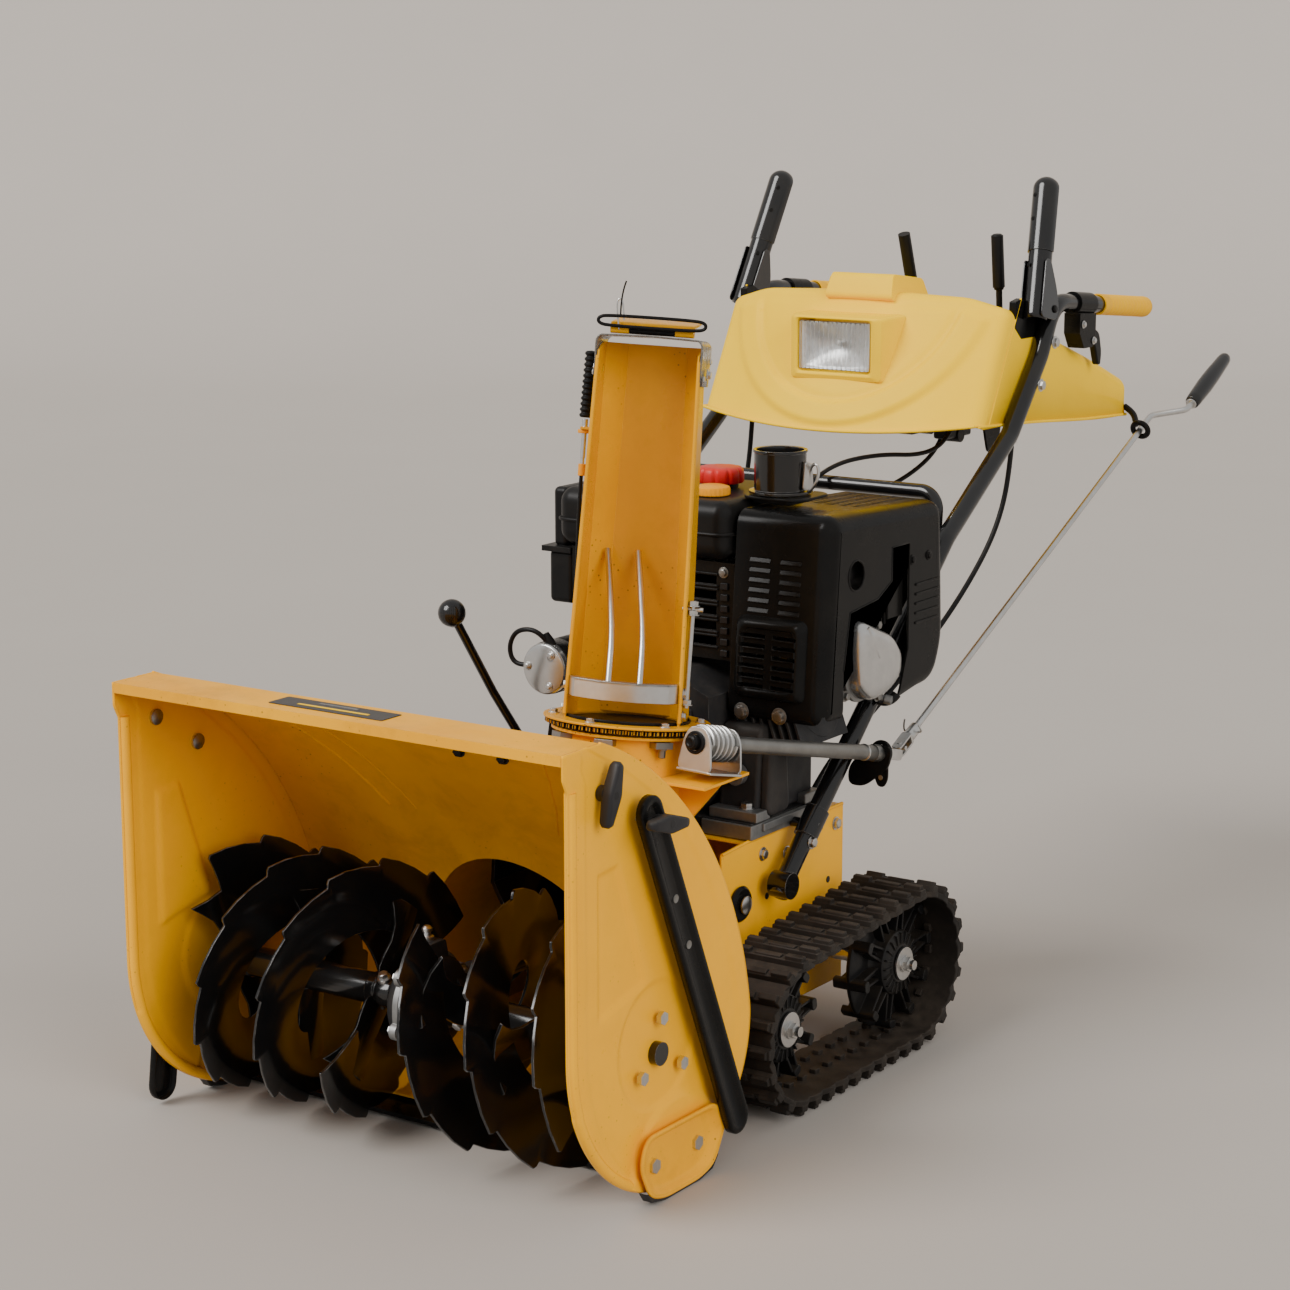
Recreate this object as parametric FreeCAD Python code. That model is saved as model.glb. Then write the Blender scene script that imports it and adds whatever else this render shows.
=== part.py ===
import FreeCAD, Part
import math
import os

# Two stage snowblower on rubber tracks. Millimetres, +X to the machine's left, +Y to the rear, +Z up.
# The working frame has y = 0 at the front edge of the auger housing; every shape is moved forward by
# CENTRE_Y when it is written, so that the origin is the middle of the footprint at floor level.

CENTRE_Y = 956.4

# Auger housing
HOUSING_HALF = 360.0
HOUSING_TOP = 605.0
LIP_DEPTH = 76.0
SHEET = 3.0
AUGER_Y = 192.0
AUGER_Z = 189.0
AUGER_R = 178.0
SHAFT_R = 15.0
FLIGHT_LEAD = 208.0

# Impeller housing and chute
DRUM_R = 152.0
DRUM_REAR = 588.0
NECK_X = 105.0
RING_CENTRE = (NECK_X, 497.0, 521.0)
RING_LEAN = 7.5
NECK_R = 88.0
CHUTE_REST_TURN = 25.0
CHUTE_LENGTH = 503.0
CHUTE_HALF_BASE = 78.0
CHUTE_HALF_TOP = 68.0
RING_TEETH = 60

# Tractor unit
FRAME_HALF = 195.0
FRAME_FRONT = 655.0
FRAME_REAR = 921.0
FRAME_TOP = 325.0
FRAME_FLOOR = 62.0
TRACK_IN = 254.0
TRACK_OUT = 370.0
REAR_HUB = (858.0, 123.0)
REAR_TRACK_R = 123.0
FRONT_HUB = (546.0, 113.0)
FRONT_TRACK_R = 113.0
BELT_LUG = 14.0
BELT_SKIN = 9.0

# Handlebars and controls
TUBE_R = 14.0
TUBE_X = 262.0
GRIP_R = 17.0
CONSOLE_HALF = 247.0
GRIP_TILT = 5.271
GRIP_END = (1762.0, 993.0)
LEVER_PIVOT = (262.0, 1394.0, 1014.0)
LEVER_LEAN = (-27.0, 85.0, 216.0)
TRIGGER_PIVOT = (1530.0, 971.0)

# Crank for the chute
WORM_CENTRE = (244.0, 493.0, 507.0)
TUBE_END = (286.0, 880.0, 421.0)
ROD_START = (287.0, 925.0, 421.0)
ROD_END = (292.0, 1736.0, 819.0)

CRANK_ARM = (52.0, 22.0, 10.0)
DEFLECTOR_PIVOT_Z = 468.0

# Engine
CRANK_Z = 445.0
COVER_IN, COVER_OUT = 128.0, 283.0

# Drift cutters and their knobs
DRIFT_PIVOT = (150.0, 498.0)
FRONT_KNOB = (73.0, 546.0)
DRIFT_X = HOUSING_HALF + 16.0
DRIFT_REST = {1: -66.3, -1: -97.5}
STUD_R = 4.0
CLAMP_KNOB_X = DRIFT_X + 12.5
FRONT_KNOB_X = HOUSING_HALF + 0.5

X_AXIS = FreeCAD.Vector(1, 0, 0)
Y_AXIS = FreeCAD.Vector(0, 1, 0)
Z_AXIS = FreeCAD.Vector(0, 0, 1)


def vec(x, y, z):
    return FreeCAD.Vector(x, y, z)


def box(x0, x1, y0, y1, z0, z1):
    return Part.makeBox(x1 - x0, y1 - y0, z1 - z0, vec(x0, y0, z0))


def cyl(start, direction, radius, length):
    return Part.makeCylinder(radius, length, vec(*start), direction)


def rod(start, end, radius):
    a = vec(*start)
    d = vec(*end) - a
    return Part.makeCylinder(radius, d.Length, a, d)


def fuse(shapes):
    shapes = list(shapes)
    return shapes[0].multiFuse(shapes[1:]).removeSplitter() if len(shapes) > 1 else shapes[0]


def mirror_x(shape):
    return shape.mirror(vec(0, 0, 0), X_AXIS)


def polygon_face(points):
    return Part.Face(Part.makePolygon(points + [points[0]]))


def prism_x(outline, x0, x1):
    """A prism along X from a list of (y, z) corners."""
    return polygon_face([vec(x0, y, z) for y, z in outline]).extrude(vec(x1 - x0, 0, 0))


def prism_y(outline, y0, y1):
    """A prism along Y from a list of (x, z) corners."""
    return polygon_face([vec(x, y0, z) for x, z in outline]).extrude(vec(0, y1 - y0, 0))


def round_prism_x(corners, radius, x0, x1):
    """A prism along X whose (y, z) corners are rounded."""
    path = rounded_path([vec(x0, y, z) for y, z in corners], radius, True)
    return Part.Face(Part.Wire(path)).extrude(vec(x1 - x0, 0, 0))


def rounded_path(points, radius, closed=False):
    """Straight runs joined by tangent arcs; the radius shrinks where the runs are short."""
    count = len(points)
    corners = range(count) if closed else range(1, count - 1)
    cuts = {}
    for i in corners:
        before = points[i - 1] - points[i]
        after = points[(i + 1) % count] - points[i]
        half_turn = (math.pi - before.getAngle(after)) / 2
        if half_turn < 0.01:
            continue
        setback = min(radius * math.tan(half_turn), 0.45 * before.Length, 0.45 * after.Length)
        before.normalize()
        after.normalize()
        start = points[i] + before * setback
        end = points[i] + after * setback
        bisector = before + after
        bisector.normalize()
        true_radius = setback / math.tan(half_turn)
        middle = points[i] + bisector * (true_radius / math.cos(half_turn) - true_radius)
        cuts[i] = (start, middle, end)
    edges = []
    last = cuts[0][2] if closed and 0 in cuts else points[0]
    order = list(range(1, count)) + ([0] if closed else [])
    for i in order:
        target = cuts[i][0] if i in cuts else points[i]
        if (target - last).Length > 1e-6:
            edges.append(Part.LineSegment(last, target).toShape())
        last = target
        if i in cuts:
            edges.append(Part.Arc(*cuts[i]).toShape())
            last = cuts[i][2]
    return edges


def tube(points, radius, bend):
    """A solid round bar or cable along a path with rounded corners."""
    corners = [vec(*p) for p in points]
    spine = Part.Wire(rounded_path(corners, bend))
    ring = Part.Wire(Part.Circle(corners[0], corners[1] - corners[0], radius).toShape())
    return spine.makePipeShell([ring], True, False)


def bolt_head(point, direction, radius, height):
    """A hexagon head standing on the face at point."""
    d = vec(*direction)
    d.normalize()
    side = X_AXIS if abs(d.x) < 0.9 else Y_AXIS
    u = d.cross(side)
    u.normalize()
    v = d.cross(u)
    origin = vec(*point)
    corners = [origin + u * (radius * math.cos(k * math.pi / 3)) + v * (radius * math.sin(k * math.pi / 3))
               for k in range(6)]
    return polygon_face(corners).extrude(d * height)


# ---------------------------------------------------------------- auger housing

def shell_edges(inset):
    """The curve from the rear of the top lip round the back of the auger to the scraper."""
    lip = vec(0, LIP_DEPTH - inset / 3, HOUSING_TOP - inset)
    shoulder = vec(0, 305 - inset, 429 - inset * 0.7)
    waist = vec(0, 404 - inset, AUGER_Z)
    belly = vec(0, 366 - inset * 0.8, 80 + inset * 0.5)
    scraper = vec(0, 262 - inset * 0.4, 20 + inset)
    return Part.Arc(lip, shoulder, waist).toShape(), Part.Arc(waist, belly, scraper).toShape()


def housing_region(inset=0.0):
    """The solid space enclosed by the curved back, out to the front edge."""
    upper, lower = shell_edges(inset)
    top_front = vec(0, -1, HOUSING_TOP - inset)
    top_rear = upper.Vertexes[0].Point
    low = lower.Vertexes[-1].Point
    low_front = vec(0, -1, low.z)
    wire = Part.Wire([Part.LineSegment(top_front, top_rear).toShape(), upper, lower,
                      Part.LineSegment(low, low_front).toShape(),
                      Part.LineSegment(low_front, top_front).toShape()])
    return Part.Face(wire).extrude(vec(2 * HOUSING_HALF, 0, 0))


def housing_shell():
    inner_half = HOUSING_HALF - SHEET
    outer = housing_region(0.0)
    outer.translate(vec(-HOUSING_HALF, 0, 0))
    inner = housing_region(SHEET)
    inner.translate(vec(-HOUSING_HALF, 0, 0))
    shell = outer.cut(inner).common(box(-inner_half, inner_half, 0, 500, 0, 700))
    shell = shell.cut(box(-400, 400, -5, 250, -5, 30))
    shell = shell.cut(cyl((0, 200, AUGER_Z), Y_AXIS, DRUM_R, 260))
    front_roll = box(-inner_half, inner_half, 0, 3, HOUSING_TOP - 14, HOUSING_TOP - SHEET)
    return shell.fuse(front_roll)


def plate_outline(x):
    points = [vec(x, 0, HOUSING_TOP), vec(x, 0, 574), vec(x, 8, 557), vec(x, 8, 225)]
    edges = [Part.LineSegment(points[i], points[i + 1]).toShape() for i in range(3)]
    low_front = vec(x, 154, 18)
    edges.append(Part.Arc(points[3], vec(x, 46, 102), low_front).toShape())
    low_rear = vec(x, 262, 14)
    edges.append(Part.LineSegment(low_front, low_rear).toShape())
    waist = vec(x, 407, AUGER_Z)
    edges.append(Part.Arc(low_rear, vec(x, 370, 77), waist).toShape())
    ridge = vec(x, LIP_DEPTH, HOUSING_TOP)
    edges.append(Part.Arc(waist, vec(x, 308, 431), ridge).toShape())
    edges.append(Part.LineSegment(ridge, points[0]).toShape())
    return Part.Wire(edges)


def side_plate():
    """The left end plate: a pressed sheet with a rolled front edge and a raised panel."""
    plate = Part.Face(plate_outline(HOUSING_HALF - SHEET)).extrude(vec(SHEET, 0, 0))
    bead = tube([(HOUSING_HALF, 20, 555), (HOUSING_HALF, 20, 240), (HOUSING_HALF, 34, 140),
                 (HOUSING_HALF, 78, 76), (HOUSING_HALF, 120, 42)], 7, 90)
    bead = bead.common(box(HOUSING_HALF, 400, 0, 500, 0, 700))
    panel = round_prism_x([(70, 255), (135, 275), (110, 420), (70, 450)], 16,
                          HOUSING_HALF, HOUSING_HALF + 4)
    boss = cyl((HOUSING_HALF, AUGER_Y, AUGER_Z), X_AXIS, 62, 4)
    plate = fuse([plate, bead, panel, boss])
    stud_hole = STUD_R + 0.6
    holes = [((AUGER_Y, AUGER_Z), SHAFT_R + 3.0), (DRIFT_PIVOT, stud_hole), (FRONT_KNOB, stud_hole)]
    for (y, z), radius in holes:
        plate = plate.cut(cyl((HOUSING_HALF - 10, y, z), X_AXIS, radius, 30))
    return plate


def scraper_bar():
    return prism_x([(214, 5), (276, 12), (276, 18), (214, 11)], -352, 352)


def skid_shoes():
    outline = [(136, 60), (150, 92), (305, 92), (326, 60), (300, 14), (268, 0), (190, 0), (158, 14)]
    plate = round_prism_x(outline, 12, HOUSING_HALF + 0.2, HOUSING_HALF + 4)
    sole = prism_x([(150, 22), (158, 10), (190, 0), (268, 0), (300, 10), (312, 26),
                    (306, 30), (296, 15), (266, 5), (192, 5), (162, 15), (156, 26)],
                   HOUSING_HALF + 0.2, HOUSING_HALF + 13)
    brow = prism_x([(150, 88), (305, 88), (305, 92), (150, 92)], HOUSING_HALF + 0.2, HOUSING_HALF + 11)
    shoe = fuse([plate, sole, brow])
    for y in (176, 272):
        shoe = shoe.cut(round_prism_x([(y - 5, 26), (y + 5, 26), (y + 5, 78), (y - 5, 78)], 4.5,
                                      HOUSING_HALF - 1, HOUSING_HALF + 20))
    return Part.makeCompound([shoe, mirror_x(shoe)])


# ---------------------------------------------------------------- impeller housing

def ring_placement(turn):
    """Local frame of the chute ring: Z is the ring's axis, -Y the way the chute faces."""
    lean = FreeCAD.Rotation(X_AXIS, -RING_LEAN)
    spin = FreeCAD.Rotation(Z_AXIS, turn)
    return FreeCAD.Placement(vec(*RING_CENTRE), lean.multiply(spin))


def place_on_ring(shape, turn):
    shape = shape.copy()
    shape.Placement = ring_placement(turn).multiply(shape.Placement)
    return shape


def neck_solid(radius, inset):
    pipe = place_on_ring(cyl((0, 0, -360), Z_AXIS, radius, 360 - 12), 0)
    outline = [(NECK_X - 88 + inset, 190), (152 - inset, 205), (NECK_X + 89 - inset, 320),
               (NECK_X + 89 - inset, 560), (NECK_X - 89 + inset, 560)]
    return pipe.common(prism_y(outline, 380, 640))


def impeller_housing():
    outside = housing_region(0.0)
    outside.translate(vec(-HOUSING_HALF, 0, 0))
    drum = cyl((0, 260, AUGER_Z), Y_AXIS, DRUM_R + SHEET, DRUM_REAR - 260)
    neck_space = neck_solid(NECK_R - SHEET, SHEET)
    drum_space = cyl((0, 250, AUGER_Z), Y_AXIS, DRUM_R, DRUM_REAR - 250)
    body = drum.fuse(neck_solid(NECK_R, 0)).cut(outside)
    body = body.cut(drum_space).cut(neck_space)
    back = cyl((0, DRUM_REAR, AUGER_Z), Y_AXIS, DRUM_R + SHEET, SHEET)
    flange = place_on_ring(cyl((0, 0, -16), Z_AXIS, 101, 4), 0)
    flange = flange.cut(place_on_ring(cyl((0, 0, -20), Z_AXIS, NECK_R - 1, 12), 0))
    shelf = prism_y([(178, 456), (268, 456), (268, 460), (178, 460)], 440, 548)
    gusset = prism_y([(182, 374), (190, 374), (262, 456), (182, 456)], 492, 496)
    bracket = fuse([shelf, gusset]).cut(neck_solid(NECK_R - 1, 0))
    body = fuse([body, back, flange, bracket])
    return body.cut(cyl((0, DRUM_REAR - 5, AUGER_Z), Y_AXIS, 13.0, 20))


# ---------------------------------------------------------------- auger and impeller

def ribbon(x0, x1, start_deg, turns):
    """A serrated helical flight strip made of flat facets."""
    step = 10
    count = round(turns * 360 / step)
    inner_r = 95.0
    half = 2.0
    rows = []
    for i in range(count + 1):
        angle = math.radians(start_deg + i * step)
        x = x0 + (x1 - x0) * i / count
        saw = (i % 3) / 3.0
        outer_r = AUGER_R - 12.0 + 14.0 * saw
        c, s = math.cos(angle), math.sin(angle)
        row = []
        for r, dx in ((inner_r, -half), (outer_r, -half), (outer_r, half), (inner_r, half)):
            row.append(vec(x + dx, AUGER_Y + r * c, AUGER_Z + r * s))
        rows.append(row)
    faces = []
    for a, b in zip(rows[:-1], rows[1:]):
        for k in range(4):
            n = (k + 1) % 4
            faces.append(polygon_face([a[k], a[n], b[n]]))
            faces.append(polygon_face([a[k], b[n], b[k]]))
    faces.append(polygon_face(rows[0]))
    faces.append(polygon_face(rows[-1]))
    solid = Part.Solid(Part.makeShell(faces))
    if solid.Volume < 0:
        solid.reverse()
    return solid


def flight_arm(x, angle_deg):
    """A flat strap from the hub out to the strip."""
    strap = box(x - 4, x + 4, AUGER_Y + 16, AUGER_Y + 121, AUGER_Z - 19, AUGER_Z + 19)
    strap.rotate(vec(x, AUGER_Y, AUGER_Z), X_AXIS, angle_deg)
    return strap


def flights_on_left(first_angle):
    """Hub tube with two serrated strips, half a turn apart, each held by three straps."""
    hub = cyl((52, AUGER_Y, AUGER_Z), X_AXIS, 21, 288)
    bore = cyl((50, AUGER_Y, AUGER_Z), X_AXIS, SHAFT_R + 0.15, 300)
    pieces = [hub]
    x0, x1 = 60.0, 330.0
    turns = (x1 - x0) / FLIGHT_LEAD
    for start in (first_angle, first_angle + 180.0):
        pieces.append(ribbon(x0, x1, start, turns))
        for part in (0.04, 0.5, 0.96):
            pieces.append(flight_arm(x0 + (x1 - x0) * part, start + 360 * turns * part))
    return pieces[0].multiFuse(pieces[1:]).cut(bore)


def auger_flights():
    return Part.makeCompound([flights_on_left(123.0), mirror_x(flights_on_left(24.0))])


def auger_shaft():
    half = HOUSING_HALF + 8
    bar = cyl((-half, AUGER_Y, AUGER_Z), X_AXIS, SHAFT_R, 2 * half)
    return bar


def auger_gearbox():
    """Cast two-half worm case on the auger shaft, with the nose that carries the impeller shaft."""
    case = cyl((-24, AUGER_Y, AUGER_Z), X_AXIS, 62, 48)
    rim = cyl((-5, AUGER_Y, AUGER_Z), X_AXIS, 70, 10)
    boss = cyl((-44, AUGER_Y, AUGER_Z), X_AXIS, 27, 88)
    nose = cyl((0, AUGER_Y + 30, AUGER_Z), Y_AXIS, 25, 75)
    top = box(-20, 20, AUGER_Y - 22, AUGER_Y + 22, AUGER_Z + 40, AUGER_Z + 84)
    plug = cyl((0, AUGER_Y, AUGER_Z + 84), Z_AXIS, 8, 10)
    case = fuse([case, rim, boss, nose, top, plug])
    case = case.cut(cyl((-50, AUGER_Y, AUGER_Z), X_AXIS, SHAFT_R + 0.4, 100))
    return case.cut(cyl((0, AUGER_Y + 60, AUGER_Z), Y_AXIS, 12.9, 60))


def impeller():
    """Four curved paddles on a hub, with the shaft that drives the gearbox."""
    shaft = cyl((0, AUGER_Y + 62, AUGER_Z), Y_AXIS, 12.5, 640 - AUGER_Y - 62)
    hub = cyl((0, 425, AUGER_Z), Y_AXIS, 30, 120)
    disc = cyl((0, 566, AUGER_Z), Y_AXIS, 112, 4)
    pieces = [shaft, hub, disc]
    for k in range(4):
        outline = [(-3, 24), (3, 24), (3, 120), (22, 143), (17, 147), (-3, 123)]
        blade = prism_y([(x, AUGER_Z + z) for x, z in outline], 428, 567)
        notch = prism_x([(426, AUGER_Z + 60), (426, AUGER_Z + 150), (452, AUGER_Z + 150)], -10, 30)
        blade = blade.cut(notch)
        blade.rotate(vec(0, 0, AUGER_Z), Y_AXIS, 45 + 90 * k)
        pieces.append(blade)
    return pieces[0].multiFuse(pieces[1:])


def grooved_pulley(x, z, y0, radius, width, bore):
    """A V-belt pulley on an axis along Y."""
    half = width / 2
    groove = radius - 12
    section = [vec(bore, y0, 0), vec(radius, y0, 0), vec(radius, y0 + 2, 0), vec(groove, y0 + half - 2, 0),
               vec(groove, y0 + half + 2, 0), vec(radius, y0 + width - 2, 0), vec(radius, y0 + width, 0),
               vec(bore, y0 + width, 0)]
    pulley = polygon_face(section).revolve(vec(0, 0, 0), Y_AXIS, 360)
    pulley.translate(vec(x, 0, z))
    return pulley


def impeller_pulley():
    return grooved_pulley(0, AUGER_Z, 606, 84, 20, 12.6)


def engine_pulley():
    pulley = grooved_pulley(0, CRANK_Z, 606, 40, 20, 11.0)
    shaft = cyl((0, 600, CRANK_Z), Y_AXIS, 11.0, 68)
    return pulley.fuse(shaft)


def drive_belt():
    """A closed V-belt running round both pulleys just clear of their grooves."""
    r_low, r_high = 81.0, 37.0
    span = CRANK_Z - AUGER_Z
    tilt = math.asin((r_low - r_high) / span)
    loops = []
    for grow in (0.0, 7.0):
        around_low, around_high = r_low - 5 + grow, r_high - 5 + grow
        loops.append(belt_loop((0, AUGER_Z), around_low, (0, CRANK_Z), around_high, tilt, 613.5))
    outer = Part.Face(loops[1]).extrude(vec(0, 5, 0))
    inner = Part.Face(loops[0]).extrude(vec(0, 5, 0))
    return outer.cut(inner)


def belt_loop(low, r_low, high, r_high, tilt, y):
    c, s = math.cos(tilt), math.sin(tilt)
    a = vec(low[0] + r_low * c, y, low[1] + r_low * s)
    b = vec(high[0] + r_high * c, y, high[1] + r_high * s)
    b_left = vec(high[0] - r_high * c, y, high[1] + r_high * s)
    a_left = vec(low[0] - r_low * c, y, low[1] + r_low * s)
    top = Part.Arc(b, vec(high[0], y, high[1] + r_high), b_left).toShape()
    bottom = Part.Arc(a_left, vec(low[0], y, low[1] - r_low), a).toShape()
    rising = Part.LineSegment(a, b).toShape()
    falling = Part.LineSegment(b_left, a_left).toShape()
    return Part.Wire([rising, top, falling, bottom])


def belt_cover():
    outline = [(-100, 96), (100, 96), (122, 130), (122, 300), (96, 470), (70, 505), (-70, 505), (-96, 470),
               (-122, 300), (-122, 130)]
    inner = [(x * 0.97, 189 + (z - 189) * 0.97) for x, z in outline]
    cover = prism_y(outline, 593, 651).cut(prism_y(inner, 596, 648))
    cover = cover.cut(cyl((0, 585, AUGER_Z), Y_AXIS, 14.5, 12))
    cover = cover.cut(box(-90, 90, 590, 611, 487, 510))
    return cover.cut(cyl((0, 640, CRANK_Z), Y_AXIS, 13.0, 20))


# ---------------------------------------------------------------- tractor frame and tracks

def tractor_frame():
    """A folded steel box, open at the front where the impeller housing bolts on."""
    outer = box(-FRAME_HALF, FRAME_HALF, FRAME_FRONT, FRAME_REAR, FRAME_FLOOR, FRAME_TOP)
    inner = box(-FRAME_HALF + SHEET, FRAME_HALF - SHEET, FRAME_FRONT - 5, FRAME_REAR - SHEET,
                FRAME_FLOOR + SHEET, FRAME_TOP - SHEET)
    frame = outer.cut(inner)
    for side in (1, -1):
        x0 = FRAME_HALF - SHEET if side > 0 else -FRAME_HALF
        wing = prism_x([(594, 150), (FRAME_FRONT, 100), (FRAME_FRONT, FRAME_TOP), (594, FRAME_TOP - 4)],
                       x0, x0 + SHEET)
        frame = frame.fuse(wing)
    for y, z in (REAR_HUB, FRONT_HUB):
        if y > FRAME_FRONT:
            frame = frame.cut(cyl((-300, y, z), X_AXIS, 12.6, 600))
    front_arm = prism_x([(528, 92), (568, 92), (700, 66), (700, 150), (568, 134), (528, 134)],
                        FRAME_HALF, FRAME_HALF + 8)
    front_arm = front_arm.cut(cyl((150, FRONT_HUB[0], FRONT_HUB[1]), X_AXIS, 12.6, 90))
    return fuse([frame, front_arm, mirror_x(front_arm)])


def track_axles():
    """A through shaft at the rear and two stub axles at the front, with washers and nuts."""
    rear = axle_half(REAR_HUB, 0)
    front = axle_half(FRONT_HUB, FRAME_HALF - 8)
    return Part.makeCompound([fuse([rear, mirror_x(rear)]), front, mirror_x(front)])


def axle_half(hub, x_start):
    y, z = hub
    bar = cyl((x_start, y, z), X_AXIS, 12.5, 340 - x_start)
    washer = cyl((334.5, y, z), X_AXIS, 24, 3)
    nut = bolt_head((337.5, y, z), (1, 0, 0), 11, 9)
    end = cyl((337.5, y, z), X_AXIS, 7, 16)
    return fuse([bar, washer, nut, end])


def loop_wire(x, rear_r, front_r):
    """The outline of a belt round the two wheels."""
    (y1, z1), (y0, z0) = REAR_HUB, FRONT_HUB
    span = math.hypot(y1 - y0, z1 - z0)
    slope = math.atan2(z1 - z0, y1 - y0)
    tilt = math.asin((rear_r - front_r) / span)
    up = slope + math.pi / 2 + tilt
    down = slope - math.pi / 2 - tilt

    def at(hub, radius, angle):
        return vec(x, hub[0] + radius * math.cos(angle), hub[1] + radius * math.sin(angle))

    a, b = at(FRONT_HUB, front_r, up), at(REAR_HUB, rear_r, up)
    c, d = at(REAR_HUB, rear_r, down), at(FRONT_HUB, front_r, down)
    rear_mid = at(REAR_HUB, rear_r, slope)
    front_mid = at(FRONT_HUB, front_r, slope + math.pi)
    return Part.Wire([Part.LineSegment(a, b).toShape(), Part.Arc(b, rear_mid, c).toShape(),
                      Part.LineSegment(c, d).toShape(), Part.Arc(d, front_mid, a).toShape()])


def track_belt():
    width = TRACK_OUT - TRACK_IN
    core_out = Part.Face(loop_wire(TRACK_IN, REAR_TRACK_R - BELT_LUG, FRONT_TRACK_R - BELT_LUG))
    core_in = Part.Face(loop_wire(TRACK_IN, REAR_TRACK_R - BELT_LUG - BELT_SKIN,
                                  FRONT_TRACK_R - BELT_LUG - BELT_SKIN))
    band = core_out.extrude(vec(width, 0, 0)).cut(core_in.extrude(vec(width, 0, 0)))
    spine = loop_wire(TRACK_IN, REAR_TRACK_R - BELT_LUG - 2, FRONT_TRACK_R - BELT_LUG - 2)
    count = 36
    lugs = []
    for point, tangent in belt_stations(spine, count):
        normal = tangent.cross(X_AXIS)
        normal.normalize()
        if (point + normal - belt_centre()).Length < (point - belt_centre()).Length:
            normal = normal * -1
        lugs.append(lug_bar(point, tangent, normal, width))
    return band.multiFuse(lugs)


def belt_centre():
    return vec(TRACK_IN, (REAR_HUB[0] + FRONT_HUB[0]) / 2, 118.0)


def belt_stations(wire, count):
    stations = []
    edges = wire.OrderedEdges
    step = wire.Length / count
    for i in range(count):
        target = step * (i + 0.5)
        for edge in edges:
            if target <= edge.Length:
                parameter = edge.getParameterByLength(target)
                tangent = edge.tangentAt(parameter)
                stations.append((edge.valueAt(parameter), tangent))
                break
            target -= edge.Length
    return stations


def lug_bar(point, tangent, normal, width):
    """A cross bar that tapers outwards."""
    wide, narrow, height = 8.0, 5.0, BELT_LUG + 1.5
    corners = [point - tangent * wide, point + tangent * wide,
               point + tangent * narrow + normal * height, point - tangent * narrow + normal * height]
    return polygon_face(corners).extrude(vec(width, 0, 0))


def track_belts():
    belt = track_belt()
    return Part.makeCompound([belt, mirror_x(belt)])


def track_wheel(hub, track_r, side):
    """A ribbed plastic wheel with a raised boss and bars that drive the belt."""
    y, z = hub
    rim_r = track_r - BELT_LUG - BELT_SKIN - 3.0
    x_in, x_out = 272.0, 330.0
    disc = cyl((296, y, z), X_AXIS, rim_r - 16, 8)
    boss = cyl((x_in, y, z), X_AXIS, 30, 60)
    ribs = []
    for k in range(10):
        rib = box(282, 324, y + 20, y + rim_r, z - 3.5, z + 3.5)
        bar = cyl((276, y + rim_r - 8, z), X_AXIS, 8, 50)
        for piece in (rib, bar):
            piece.rotate(vec(0, y, z), X_AXIS, 36 * k + 9)
            ribs.append(piece)
    wheel = disc.multiFuse([boss] + ribs)
    wheel = wheel.cut(cyl((x_in - 5, y, z), X_AXIS, 12.6, x_out))
    return wheel if side > 0 else mirror_x(wheel)


# ---------------------------------------------------------------- handlebars and console

HANDLE_POINTS = [(228, 690, 248), (228, 730, 288), (TUBE_X, 1094, 700), (TUBE_X, 1292, 832),
                 (TUBE_X, 1386, 945), (TUBE_X, 1426, 1024), (TUBE_X,) + GRIP_END]


def handlebar():
    bar = tube(HANDLE_POINTS, TUBE_R, 55)
    foot = cyl((213, 702, 260), X_AXIS, 19, 30)
    clamp_axis = vec(*HANDLE_POINTS[2]) - vec(*HANDLE_POINTS[1])
    clamp_axis.normalize()
    clamp_start = vec(*HANDLE_POINTS[1]) + clamp_axis * 40
    clamp = Part.makeCylinder(TUBE_R + 3.5, 44, clamp_start, clamp_axis)
    pin = cyl((198, 770, 333), X_AXIS, 7, 50)
    return fuse([bar, foot, clamp, pin])


def handlebars():
    left = handlebar()
    return Part.makeCompound([left, mirror_x(left)])


def crossbar():
    x = TUBE_X - TUBE_R - 11.5
    return tube([(x, 1108, 706), (x, 1112, 764), (-x, 1112, 764), (-x, 1108, 706)], 11, 42)


def grip_line(distance):
    """A point on the left grip's centre line, measured forwards from its rear end."""
    tilt = math.radians(GRIP_TILT)
    return vec(TUBE_X, GRIP_END[0] - distance * math.cos(tilt), GRIP_END[1] + distance * math.sin(tilt))


def grip_axis():
    axis = grip_line(0) - grip_line(10)
    axis.normalize()
    return axis


def handle_grips():
    """Ribbed sleeves with a closed rear end."""
    sleeve = Part.makeCylinder(GRIP_R, 186, grip_line(180), grip_axis())
    sleeve = sleeve.cut(Part.makeCylinder(TUBE_R + 0.2, 180.5, grip_line(180), grip_axis()))
    return Part.makeCompound([sleeve, mirror_x(sleeve)])


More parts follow.
